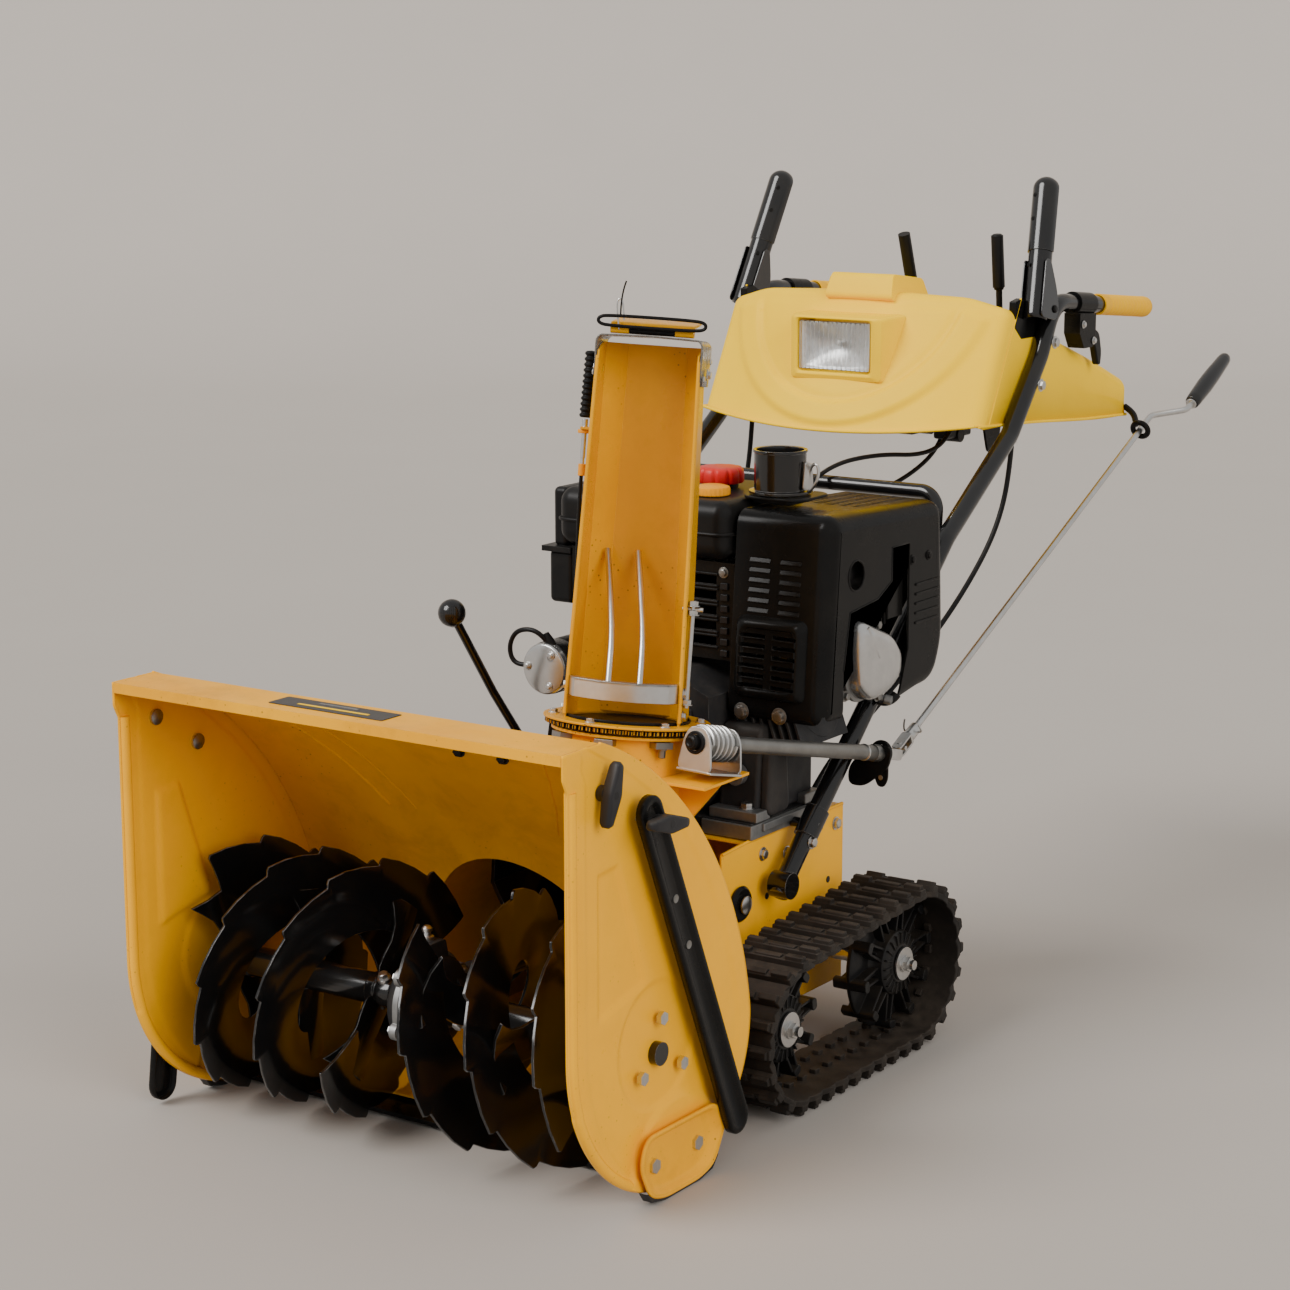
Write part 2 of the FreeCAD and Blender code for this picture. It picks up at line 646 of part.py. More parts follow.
def console_block(grow, z_drop):
    """The dash body: a curved front that leans back, and a top that falls to the rear."""
    half = CONSOLE_HALF - grow
    low_z, high_z = 800.0 - z_drop, 1085.0
    rear = 1738.0 - grow
    wires = []
    for z in (low_z, high_z):
        lean = (z - 800.0) * 0.52
        corner = 1196.0 + lean + grow
        nose = 1152.0 + lean + grow
        a, m, b = vec(-half, corner, z), vec(0, nose, z), vec(half, corner, z)
        c, d = vec(half, rear, z), vec(-half, rear, z)
        wires.append(Part.Wire([Part.Arc(a, m, b).toShape(), Part.LineSegment(b, c).toShape(),
                                Part.LineSegment(c, d).toShape(), Part.LineSegment(d, a).toShape()]))
    block = Part.makeLoft(wires, True, True)
    top = [(1100, 1046 - grow), (1318, 1036 - grow), (1440, 978 - grow), (1732, 874 - grow),
           (1760, 874 - grow), (1760, 1120), (1100, 1120)]
    block = block.cut(prism_x(top, -400, 400))
    return block


def console():
    """Moulded dash shell, open underneath, with a lamp recess in the raised box at the front."""
    outer = console_block(0, 0)
    tower = prism_x([(1258, 1030), (1276, 1070), (1372, 1058), (1400, 990)], -50, 50)
    outer = outer.fuse(tower)
    below = [(1100, 700), (1760, 700), (1760, 816), (1240, 852), (1190, 842), (1100, 842)]
    outer = outer.cut(prism_x(below, -400, 400))
    inner = console_block(4, 60)
    shell = outer.cut(inner)
    lamp = box(-64, 64, 1150, 1262, 918, 1004)
    shell = shell.cut(lamp)
    frame = box(-69, 69, 1205, 1262, 913, 1009).cut(box(-64, 64, 1200, 1258, 918, 1004))
    frame = frame.common(console_block(-4, 0))
    shell = shell.fuse(frame)
    for x in (40.0, 180.0):
        shell = shell.cut(box(x - 12, x + 12, 1345, 1470, 930, 1120))
    for x in (-CONSOLE_HALF - 10, 238):
        shell = shell.cut(box(x, x + CONSOLE_HALF - 228, 1325, 1450, 970, 1060))
    return shell


def headlight_lens():
    lens = box(-63, 63, 1226, 1256, 919, 1003)
    return lens.cut(box(-59, 59, 1230, 1257, 923, 999))


def lever_placement():
    """Local frame of the left clutch lever: Z up along the lever, Y to the rear, origin at its pivot."""
    up = vec(*LEVER_LEAN)
    up.normalize()
    side = grip_axis().cross(up)
    side.normalize()
    back = up.cross(side)
    x, y, z = LEVER_PIVOT
    rows = (side.x, back.x, up.x, x, side.y, back.y, up.y, y, side.z, back.z, up.z, z, 0, 0, 0, 1)
    return FreeCAD.Placement(FreeCAD.Matrix(*rows))


def clutch_lever(side):
    """A folded steel lever that comes down over the grip when it is pressed."""
    half, wall, length = 19.5, 2.0, 186.0
    gap = half - wall
    outer = box(-half, half, -44, -24, -24, length)
    channel = box(-gap, gap, -44 + wall, -20, -30, length + 10)
    ears = prism_x([(-43, -24), (12, -14), (14, 8), (-6, 40), (-43, 66)], -half, half)
    ears = ears.cut(box(-gap, gap, -44 + wall, 30, -40, 80))
    pin = cyl((gap, 0, 0), X_AXIS, 5, 5)
    other_pin = cyl((-gap - 5, 0, 0), X_AXIS, 5, 5)
    tip = cyl((-half, -24, length), X_AXIS, 20, 2 * half)
    tip = tip.common(box(-half, half, -44, -24, length - 10, length + 25))
    tip = tip.cut(box(-gap, gap, -44 + wall, -10, length - 20, length + 14))
    lever = fuse([outer.cut(channel), ears, pin, other_pin, tip])
    lever.Placement = lever_placement()
    return lever if side > 0 else mirror_x(lever)


def trigger_mounts():
    """Clamped brackets under the bars that carry the steering triggers."""
    body = prism_x([(1496, 1002), (1552, 998), (1552, 952), (1540, 946), (1512, 946), (1496, 970)],
                   TUBE_X - 14, TUBE_X + 14)
    slot = prism_x([(1516, 987), (1600, 987), (1600, 930), (1516, 930)], TUBE_X - 7, TUBE_X + 7)
    sleeve = Part.makeCylinder(TUBE_R + 4, 58, grip_line(270), grip_axis())
    bore = Part.makeCylinder(TUBE_R + 0.3, 100, grip_line(290), grip_axis())
    pin = cyl((TUBE_X - 14, TRIGGER_PIVOT[0], TRIGGER_PIVOT[1]), X_AXIS, 2.6, 28)
    mount = fuse([fuse([body, sleeve]).cut(slot).cut(bore), pin])
    return Part.makeCompound([mount, mirror_x(mount)])


def steering_trigger(side):
    blade = round_prism_x([(1520, 978), (1542, 980), (1582, 964), (1592, 932), (1590, 914), (1582, 916),
                           (1568, 948), (1526, 964)], 5, TUBE_X - 6, TUBE_X + 6)
    blade = blade.cut(cyl((TUBE_X - 10, TRIGGER_PIVOT[0], TRIGGER_PIVOT[1]), X_AXIS, 3.0, 20))
    return blade if side > 0 else mirror_x(blade)


def dash_lever(x, top_lean):
    """A black lever that comes up through a slot in the dash."""
    stem = rod((x, 1416, 905), (x, 1416 - 0.28 * top_lean, 1055), 5)
    grip = rod((x, 1416 - 0.28 * top_lean, 1045), (x, 1416 - 0.5 * top_lean, 1125), 9.5)
    pivot = cyl((x - 7, 1416, 905), X_AXIS, 12, 14)
    return fuse([stem, grip, pivot])


def control_brackets():
    """Worm bracket, tube hanger, rod support, and the lever box under the dash."""
    w = worm_placement()
    bracket = fuse([box(-27, 32, -34, -30, -38, 26), box(-27, 32, 30, 34, -38, 20),
                    box(-27, 32, -34, 34, -38, -34)])
    bracket = bracket.cut(cyl((0, -40, 0), Y_AXIS, 11.5, 80))
    bracket.Placement = w
    hanger = prism_y([(236, 372), (262, 372), (302, 408), (306, 434), (268, 434), (236, 396)], 866, 871)
    hanger = hanger.cut(rod((278, 800, 438.8), TUBE_END, 12.3))
    support = tube([(251, 1728, 828), (264, 1726, 821), (281, 1706, 806)], 5, 20)
    loop = Part.makeTorus(14, 4, vec(291.6, 1697, 799), vec(*ROD_END) - vec(*ROD_START))
    support = support.fuse(loop)
    box_part = box(25, 150, 1340, 1470, 850, 890).cut(box(29, 146, 1344, 1466, 846, 886))
    for x in (40.0, 180.0):
        box_part = box_part.cut(box(x - 16, x + 16, 1352, 1470, 840, 900))
    gusset = box(174 - 24, 174, 1385, 1440, 800, 850)
    return Part.makeCompound([bracket, hanger, support, box_part.fuse(gusset)])


# ---------------------------------------------------------------- chute, worm and crank

def chute_channel(inset, extra):
    """A tapered channel block, open in front when extra pushes the front out."""
    wires = []
    for z, half, front, back in ((2, CHUTE_HALF_BASE, -48, 66), (CHUTE_LENGTH, CHUTE_HALF_TOP, -40, 40)):
        h = half - inset
        b = back - inset
        f = front - extra
        corners = [vec(-h, f, z), vec(h, f, z), vec(h, b - 26, z), vec(h - 26, b, z), vec(-h + 26, b, z),
                   vec(-h, b - 26, z)]
        wires.append(Part.makePolygon(corners + [corners[0]]))
    return Part.makeLoft(wires, True, True)


def chute():
    channel = chute_channel(0, 0).cut(chute_channel(2.5, 20))
    channel = channel.cut(prism_x([(-60, 484), (-2, CHUTE_LENGTH + 2), (-60, CHUTE_LENGTH + 2)], -90, 90))
    flange = cyl((0, 0, -1), Z_AXIS, 112, 3)
    flange = flange.cut(cyl((0, 0, -5), Z_AXIS, 80, 20))
    collar = cyl((0, 0, -11.5), Z_AXIS, 86, 11.5).cut(cyl((0, 0, -15), Z_AXIS, 82, 30))
    teeth = []
    for k in range(RING_TEETH):
        tooth = box(104, 110, -2.4, 2.4, -8, -3)
        tooth.rotate(vec(0, 0, 0), Z_AXIS, 360.0 * k / RING_TEETH)
        teeth.append(tooth)
    gear = cyl((0, 0, -8), Z_AXIS, 105, 5).cut(cyl((0, 0, -10), Z_AXIS, 84, 20))
    whole = channel.multiFuse([flange, collar, gear] + teeth)
    whole = whole.cut(cyl((-100, 0, DEFLECTOR_PIVOT_Z), X_AXIS, 5.3, 200))
    return place_on_ring(whole, CHUTE_REST_TURN)


def chute_guard():
    """A bent zinc strap across the mouth with two bars up to the back wall."""
    strap = Part.makePolygon([vec(-74, -46, 20), vec(-66, -66, 20), vec(-22, -86, 20), vec(22, -86, 20),
                              vec(66, -66, 20), vec(74, -46, 20), vec(71.5, -44, 20), vec(64, -63, 20),
                              vec(21, -83, 20), vec(-21, -83, 20), vec(-64, -63, 20), vec(-71.5, -44, 20),
                              vec(-74, -46, 20)])
    strip = Part.Face(strap).extrude(vec(0, 0, 24))
    bars = [tube([(x, -80, 34), (x - 6, -62, 92), (x - 22, 38, 222)], 4, 30) for x in (-21, 21)]
    guard = fuse([strip] + bars)
    return place_on_ring(guard, CHUTE_REST_TURN)


def deflector():
    """Hood over the chute's mouth on two side pivots, with a hinged blade on its top."""
    inside = CHUTE_HALF_TOP + 2.5
    cheek = round_prism_x([(-36, 446), (26, 446), (36, 470), (36, 514), (-36, 514)], 8, inside, inside + 2)
    roof = box(-inside - 2, inside + 2, -36, 36, 512, 514)
    barrel = cyl((-56, -20, 521), X_AXIS, 5, 112)
    saddle = box(-50, 50, -25, -15, 513, 519)
    blade = prism_x([(-20, 519), (-20, 522), (40, 528), (40, 525)], -56, 56)
    pins = [cyl((inside - 5, 0, DEFLECTOR_PIVOT_Z), X_AXIS, 5, 10),
            cyl((-inside - 5, 0, DEFLECTOR_PIVOT_Z), X_AXIS, 5, 10)]
    hood = fuse([cheek, mirror_x(cheek), roof, barrel, saddle, blade] + pins)
    return place_on_ring(hood, CHUTE_REST_TURN)


def worm_placement():
    """Local frame of the worm: Y runs along its shaft towards the rear."""
    axis = vec(*TUBE_END) - vec(*WORM_CENTRE)
    axis.normalize()
    side = axis.cross(Z_AXIS)
    side.normalize()
    up = side.cross(axis)
    matrix = FreeCAD.Matrix(side.x, axis.x, up.x, WORM_CENTRE[0], side.y, axis.y, up.y, WORM_CENTRE[1],
                            side.z, axis.z, up.z, WORM_CENTRE[2], 0, 0, 0, 1)
    return FreeCAD.Placement(matrix)


def worm_shaft():
    length = (vec(*TUBE_END) - vec(*WORM_CENTRE)).Length
    core = cyl((0, -29, 0), Y_AXIS, 17, 58)
    threads = []
    for k in range(5):
        disc = Part.makeCone(17, 25, 4, vec(0, -24 + 10.5 * k, 0), Y_AXIS)
        back = Part.makeCone(25, 17, 4, vec(0, -20 + 10.5 * k, 0), Y_AXIS)
        threads += [disc, back]
    shaft = cyl((0, -42, 0), Y_AXIS, 11, length + 42)
    fork = box(-10, 10, length, length + 34, -9, 9).cut(box(-5, 5, length + 8, length + 40, -12, 12))
    worm = core.multiFuse(threads + [shaft, fork])
    worm.Placement = worm_placement()
    return worm


def rod_axis():
    axis = vec(*ROD_END) - vec(*ROD_START)
    axis.normalize()
    return axis


def crank_rod():
    """The universal joint's far fork, the long rod, and the bent crank arm."""
    axis = rod_axis()
    start = vec(*ROD_START)
    end = vec(*ROD_END)
    knee = end + vec(*CRANK_ARM)
    tip = knee + axis * 20
    fork = Part.makeCylinder(9, 26, start + axis * 16, axis)
    bar = tube([tuple(start + axis * 10), tuple(end), tuple(knee), tuple(tip)], 5, 14)
    spindle = Part.makeCylinder(4, 150, tip, axis)
    return fuse([fork, bar, spindle])


def crank_grip():
    axis = rod_axis()
    knee = vec(*ROD_END) + vec(*CRANK_ARM)
    start = knee + axis * 22
    profile = [(4.3, 0), (11, 0), (13, 18), (14, 60), (12, 110), (10, 140), (7, 147), (4.3, 147)]
    face = polygon_face([vec(r, 0, h) for r, h in profile])
    grip = face.revolve(vec(0, 0, 0), Z_AXIS, 360)
    grip.Placement = FreeCAD.Placement(start, FreeCAD.Rotation(Z_AXIS, axis))
    return grip


# ---------------------------------------------------------------- engine

def engine_block():
    section = [(-112, 372), (-84, 348), (96, 348), (122, 380),
               (122, 520), (60, 548), (-60, 548), (-112, 500)]
    case = prism_y(section, 672, 872)
    base = box(-70, 195, 668, 872, FRAME_TOP + 0.5, 349)
    base = base.cut(box(-30, 160, 690, 850, FRAME_TOP - 1, 336))
    nose = cyl((0, 654, CRANK_Z), Y_AXIS, 46, 22)
    block = fuse([case, base, nose])
    return block.cut(cyl((0, 650, CRANK_Z), Y_AXIS, 11.5, 25))


def engine_cylinder():
    barrel = cyl((122, 790, 470), vec(0.94, 0, 0.34), 52, 112)
    fins = []
    for k in range(8):
        fin = box(-2, 2, 722, 845, -58, 66)
        fin.rotate(vec(0, 0, 0), Y_AXIS, -19.9)
        fin.translate(vec(138 + 12.4 * k, 0, 476 + 4.5 * k))
        fins.append(fin)
    return barrel.multiFuse(fins).cut(box(60, 122, 600, 900, 300, 700))


def valve_cover():
    outline = [(802, 628), (842, 612), (888, 594), (916, 562), (912, 530), (878, 510), (828, 506),
               (804, 526), (798, 576)]
    cover = round_prism_x(outline, 18, 270, 296)
    middle_y, middle_z, spread = 852, 562, 1.08
    rim = [(middle_y + (y - middle_y) * spread, middle_z + (z - middle_z) * spread) for y, z in outline]
    flange = round_prism_x(rim, 18, 262, 270)
    return fuse([cover, flange])


def engine_cover_block(grow):
    """Side outline of the black engine cover, its front leaning back and its top edges cut off."""
    outline = [(712 + grow, 484), (734 + grow, 752 - grow), (752 + grow, 780 - grow),
               (1040 - grow, 768 - grow), (1062 - grow, 742 - grow), (1066 - grow, 560), (1040 - grow, 500),
               (900, 478)]
    body = prism_x(outline, COVER_IN, COVER_OUT - grow)
    corner = [(COVER_OUT - 26 - grow, 800), (COVER_OUT + 5, 744 - grow), (COVER_OUT + 5, 800)]
    bevel = prism_y(corner, 600, 1200)
    return body.cut(bevel)


def engine_cover():
    inner = engine_cover_block(3)
    inner = inner.fuse(box(COVER_IN - 1, COVER_OUT - 3, 716, 1060, 440, 500))
    shell = engine_cover_block(0).cut(inner)
    shell = shell.cut(box(236, COVER_OUT - 3, 1030, 1080, 470, 740))
    window = [(768, 470), (768, 560), (784, 640), (860, 648), (900, 668), (900, 760), (950, 760),
              (950, 560), (905, 470)]
    valve_window = prism_x(window, COVER_OUT - 8, COVER_OUT + 5)
    shell = shell.cut(valve_window.common(box(200, 300, 700, 960, 400, 716)))
    shell = shell.cut(cyl((COVER_OUT - 8, 800, 690), X_AXIS, 22, 20))
    slots = []
    for row in range(6):
        for x in (152.0, 202.0):
            slots.append(box(x, x + 34, 690, 760, 640 + 14 * row, 645 + 14 * row))
            slots.append(box(x - 8, x + 26, 680, 760, 526 + 14 * row, 531 + 14 * row))
    for row in range(5):
        slots.append(box(COVER_OUT - 8, COVER_OUT + 5, 968, 1036, 590 + 14 * row, 593 + 14 * row))
    for i in range(4):
        for j in range(9):
            slots.append(box(150 + 28 * i, 166 + 28 * i, 866 + 18 * j, 875 + 18 * j, 740, 800))
    return shell.cut(Part.makeCompound(slots))


def rounded_box(x0, x1, y0, y1, z0, z1, radius):
    body = box(x0, x1, y0, y1, z0, z1)
    return body.makeFillet(radius, body.Edges)


def fuel_tank():
    tank = rounded_box(-172, 120, 716, 946, 704, 788, 22)
    neck = cyl((28, 846, 780), Z_AXIS, 26, 14)
    return fuse([tank, neck])


def fuel_cap():
    disc = cyl((28, 846, 795), Z_AXIS, 34, 24)
    notches = []
    for k in range(10):
        notch = cyl((28 + 37, 846, 790), Z_AXIS, 6, 40)
        notch.rotate(vec(28, 846, 0), Z_AXIS, 36 * k)
        notches.append(notch)
    return disc.cut(Part.makeCompound(notches))


def blower_housing():
    """Fan shroud over the flywheel, with the recoil dome at the rear."""
    duct = box(-158, 122, 738, 944, 560, 700).cut(box(-154, 118, 742, 940, 550, 696))
    drum = cyl((0, 880, CRANK_Z), Y_AXIS, 118, 64).cut(cyl((0, 876, CRANK_Z), Y_AXIS, 115, 64))
    drum = drum.cut(box(-140, 140, 870, 950, 561, 700))
    skirt = box(-110, 110, 876, 944, 540, 564).cut(box(-106, 106, 870, 940, 530, 570))
    dome = cyl((0, 944, CRANK_Z), Y_AXIS, 92, 26)
    shroud = fuse([duct, drum, skirt, dome])
    slots = []
    for row in range(5):
        slots.append(box(36, 92, 730, 745, 580 + 22 * row, 592 + 22 * row))
    shroud = shroud.cut(Part.makeCompound(slots))
    return shroud.cut(box(-14, 14, 960, 980, CRANK_Z + 42, CRANK_Z + 58))


def recoil_handle():
    grip = cyl((-34, 984, CRANK_Z + 50), X_AXIS, 8.5, 68)
    stem = cyl((0, 961, CRANK_Z + 50), Y_AXIS, 5, 20)
    return grip.fuse(stem)


def starter_motor():
    body = cyl((-178, 700, 522), Y_AXIS, 38, 120)
    face = cyl((-178, 694, 522), Y_AXIS, 34, 8)
    foot = box(-150, -113, 740, 812, 486, 500)
    screw = cyl((-164, 690, 540), Y_AXIS, 6, 10)
    return fuse([body, face, foot, screw])


def carburettor_box():
    body = rounded_box(-204, -161, 742, 912, 612, 690, 8)
    lid = rounded_box(-200, -175, 748, 906, 694, 782, 8)
    lip = box(-212, -160, 736, 918, 688, 696)
    return fuse([body, lid, lip])


def intake_cup():
    """An open black cup on a flanged foot on top of the engine cover."""
    cup = cyl((150, 812, 796), Z_AXIS, 37, 58).cut(cyl((150, 812, 806), Z_AXIS, 34, 60))
    foot = box(123, 202, 772, 862, 786, 796)
    legs = box(130, 194, 780, 856, 781.5, 787)
    clip = box(185, 191, 800, 824, 790, 846)
    return fuse([cup, foot, legs, clip])


# ---------------------------------------------------------------- small parts

def height_lever():
    """The ball-knob lever that sets the height of the auger housing."""
    stem = tube([(-203, 738, 262), (-203, 742, 330), (-232, 642, 490), (-234, 560, 608)], 6.5, 60)
    ball = Part.makeSphere(20, vec(-234, 550, 622))
    pivot = cyl((-211, 738, 262), X_AXIS, 15, 14)
    return fuse([stem, ball, pivot])


def drift_cutter(side):
    """A pressed channel bar hung on the rear clamp knob."""
    y, z = DRIFT_PIVOT
    length, half = 474.0, 22.0
    start, end = y - 34, y + length + 22
    outline = [(start, z - half), (end, z - half), (end, z + half), (start, z + half)]
    bar = round_prism_x(outline, 21.5, DRIFT_X, DRIFT_X + 12)
    wall = half - 5
    groove = [(y + 60, z - wall), (y + length, z - wall), (y + length, z + wall), (y + 60, z + wall)]
    trough = round_prism_x(groove, 12, DRIFT_X - 1, DRIFT_X + 8)
    bar = bar.cut(trough).cut(cyl((DRIFT_X - 5, y, z), X_AXIS, 6.5, 30))
    for hole_y in (y + 118, y + 190):
        bar = bar.cut(cyl((DRIFT_X - 5, hole_y, z), X_AXIS, 4.5, 30))
    bar.rotate(vec(0, y, z), X_AXIS, DRIFT_REST[side])
    return bar if side > 0 else mirror_x(bar)


def tee_knob(y, z, turn_deg, base_x):
    """A T-shaped nut that turns on a stud along X."""
    neck = cyl((base_x, y, z), X_AXIS, 10, 16)
    lozenge = [(y - 40, z - 5), (y - 40, z + 5), (y, z + 11), (y + 40, z + 5), (y + 40, z - 5), (y, z - 11)]
    wing = prism_x(lozenge, base_x + 10, base_x + 25)
    wing.rotate(vec(0, y, z), X_AXIS, turn_deg)
    return neck.fuse(wing).cut(cyl((base_x - 1, y, z), X_AXIS, STUD_R + 0.3, 30))


def clamp_knob(side):
    knob = tee_knob(DRIFT_PIVOT[0], DRIFT_PIVOT[1], -8, CLAMP_KNOB_X)
    return knob if side > 0 else mirror_x(knob)


def front_knob(side):
    knob = tee_knob(FRONT_KNOB[0], FRONT_KNOB[1], 72, FRONT_KNOB_X)
    return knob if side > 0 else mirror_x(knob)


def carriage_bolt(y, z, knob_x):
    """A domed bolt through the side plate that carries a T knob."""
    inner = HOUSING_HALF - SHEET
    head = cyl((inner - 4, y, z), X_AXIS, 10, 4)
    return head.fuse(cyl((inner - 1, y, z), X_AXIS, STUD_R, knob_x + 20 - inner))


def fasteners():
    """Bolts of the bearing plates, shoes, frame and engine cover, and the studs of the T knobs."""
    heads = []
    for y, z in ((194, 235), (239, 164), (151, 169)):
        heads.append(bolt_head((HOUSING_HALF + 4.0, y, z), (1, 0, 0), 9, 7))
    for y in (176, 272):
        heads.append(bolt_head((HOUSING_HALF + 4.2, y, 48), (1, 0, 0), 10, 7))
    heads.append(bolt_head((FRAME_HALF, 764, 287), (1, 0, 0), 9, 6))
    heads.append(bolt_head((FRAME_HALF, 900, 300), (1, 0, 0), 8, 6))
    heads.append(carriage_bolt(DRIFT_PIVOT[0], DRIFT_PIVOT[1], CLAMP_KNOB_X))
    heads.append(carriage_bolt(FRONT_KNOB[0], FRONT_KNOB[1], FRONT_KNOB_X))
    heads += [mirror_x(h) for h in heads]
    for x in (152, 214):
        heads.append(bolt_head((x, 711, 498), (0, -1, 0), 9, 7))
    heads.append(bolt_head((180, 700, 349.2), (0, 0, 1), 10, 9))
    heads.append(bolt_head((180, 846, 349.2), (0, 0, 1), 10, 9))
    return Part.makeCompound(heads)


def control_cables():
    """Bowden cables from the levers down to the tractor unit and engine."""
    left = tube([(237, 1356, 900), (237, 1352, 800), (234, 1322, 690), (216, 1240, 590), (190, 1140, 500),
                 (160, 1040, 420), (130, 975, 362), (120, 930, 300)], 4, 160)
    right = mirror_x(left)
    shift = tube([(100, 1400, 846), (96, 1386, 800), (84, 1330, 760), (60, 1230, 730), (20, 1120, 700),
                  (0, 1040, 640), (0, 990, 600)], 3.5, 120)
    choke = tube([(128, 1370, 846), (128, 1350, 812), (118, 1290, 790), (84, 1200, 800), (50, 1110, 790),
                  (40, 1010, 740), (40, 960, 690)], 3.5, 120)
    return Part.makeCompound([left, right, shift, choke])


NODES = {
    "housing_shell": housing_shell,
    "side_plate_left": side_plate,
    "side_plate_right": lambda: mirror_x(side_plate()),
    "scraper_bar": scraper_bar,
    "skid_shoes": skid_shoes,
    "impeller_housing": impeller_housing,
    "auger_flights": auger_flights,
    "auger_shaft": auger_shaft,
    "auger_gearbox": auger_gearbox,
    "impeller": impeller,
    "impeller_pulley": impeller_pulley,
    "engine_pulley": engine_pulley,
    "drive_belt": drive_belt,
    "belt_cover": belt_cover,
    "tractor_frame": tractor_frame,
    "track_axles": track_axles,
    "track_belts": track_belts,
    "drive_wheel_left": lambda: track_wheel(REAR_HUB, REAR_TRACK_R, 1),
    "drive_wheel_right": lambda: track_wheel(REAR_HUB, REAR_TRACK_R, -1),
    "idler_wheel_left": lambda: track_wheel(FRONT_HUB, FRONT_TRACK_R, 1),
    "idler_wheel_right": lambda: track_wheel(FRONT_HUB, FRONT_TRACK_R, -1),
    "handlebars": handlebars,
    "crossbar": crossbar,
    "handle_grips": handle_grips,
    "console": console,
    "headlight_lens": headlight_lens,
    "clutch_lever_left": lambda: clutch_lever(1),
    "clutch_lever_right": lambda: clutch_lever(-1),
    "trigger_mounts": trigger_mounts,
    "steering_trigger_left": lambda: steering_trigger(1),
    "steering_trigger_right": lambda: steering_trigger(-1),
    "deflector_lever": lambda: dash_lever(40.0, 130.0),
    "speed_lever": lambda: dash_lever(180.0, 44.0),
    "control_brackets": control_brackets,
    "control_cables": control_cables,
    "chute": chute,
    "chute_guard": chute_guard,
    "deflector": deflector,
    "worm_shaft": worm_shaft,
    "crank_rod": crank_rod,
    "crank_grip": crank_grip,
    "engine_block": engine_block,
    "engine_cylinder": engine_cylinder,
    "valve_cover": valve_cover,
    "engine_cover": engine_cover,
    "fuel_tank": fuel_tank,
    "fuel_cap": fuel_cap,
    "blower_housing": blower_housing,
    "recoil_handle": recoil_handle,
    "starter_motor": starter_motor,
    "carburettor_box": carburettor_box,
    "intake_cup": intake_cup,
    "height_lever": height_lever,
    "drift_cutter_left": lambda: drift_cutter(1),
    "drift_cutter_right": lambda: drift_cutter(-1),
    "clamp_knob_left": lambda: clamp_knob(1),
    "clamp_knob_right": lambda: clamp_knob(-1),
    "front_knob_left": lambda: front_knob(1),
    "front_knob_right": lambda: front_knob(-1),
    "fasteners": fasteners,
}


def main():
    os.makedirs("parts", exist_ok=True)
    whole = FreeCAD.BoundBox()
    for name, make in NODES.items():
        shape = make()
        shape.translate(vec(0, -CENTRE_Y, 0))
        shape.exportStep("parts/" + name + ".step")
        whole.add(shape.BoundBox)
        bounds = shape.BoundBox
        print(name, len(shape.Solids), shape.isValid(), round(shape.Volume / 1000), "cm3",
              [round(v) for v in (bounds.XMin, bounds.XMax, bounds.YMin + CENTRE_Y, bounds.YMax + CENTRE_Y,
                                  bounds.ZMin, bounds.ZMax)])
    corners = (whole.XMin, whole.XMax, whole.YMin, whole.YMax, whole.ZMin, whole.ZMax)
    print("whole", [round(v, 2) for v in corners])


main()
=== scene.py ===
import math

import bmesh
import bpy
from mathutils import Matrix, Vector


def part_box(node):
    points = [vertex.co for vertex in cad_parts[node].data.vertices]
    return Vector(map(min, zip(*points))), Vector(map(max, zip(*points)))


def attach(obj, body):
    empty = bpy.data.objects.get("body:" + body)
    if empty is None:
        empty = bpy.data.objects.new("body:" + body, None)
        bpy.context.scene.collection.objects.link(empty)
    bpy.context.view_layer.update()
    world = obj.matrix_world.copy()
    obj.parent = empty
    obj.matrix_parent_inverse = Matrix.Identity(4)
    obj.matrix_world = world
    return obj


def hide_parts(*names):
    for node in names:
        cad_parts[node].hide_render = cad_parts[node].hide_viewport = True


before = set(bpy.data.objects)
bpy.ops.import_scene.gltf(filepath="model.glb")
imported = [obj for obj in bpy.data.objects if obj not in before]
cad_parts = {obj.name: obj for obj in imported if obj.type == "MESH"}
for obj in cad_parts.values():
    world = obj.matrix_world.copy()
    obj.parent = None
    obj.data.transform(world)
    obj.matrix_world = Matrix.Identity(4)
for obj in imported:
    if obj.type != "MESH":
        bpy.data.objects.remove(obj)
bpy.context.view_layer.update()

# Geometry below is written in millimetres in the machine's working frame: +X its left, +Y its rear,
# y = 0 at the auger housing's front edge. PLACE turns that into metres in the shared frame.
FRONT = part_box("side_plate_left")[0].y
PLACE = Matrix.Translation((0, FRONT, 0)) @ Matrix.Scale(0.001, 4)

AUGER = Vector((0, 192, 189))
RING_CENTRE = Vector((105, 497, 521))
RING_LEAN = math.radians(7.5)
CHUTE_TURN = math.radians(25)
WORM_CENTRE = Vector((244, 493, 507))
WORM_END = Vector((286, 880, 421))
ROD_START = Vector((287, 925, 421))
ROD_END = Vector((292, 1736, 819))
CRANK_ARM = Vector((52, 22, 10))
GRIP_END = Vector((262, 1762, 993))
GRIP_TILT = math.radians(5.271)
LEVER_PIVOT = Vector((262, 1394, 1014))
LEVER_LEAN = Vector((-27, 85, 216))
HALF_WIDTH = 360


# ---------------------------------------------------------------- local frames

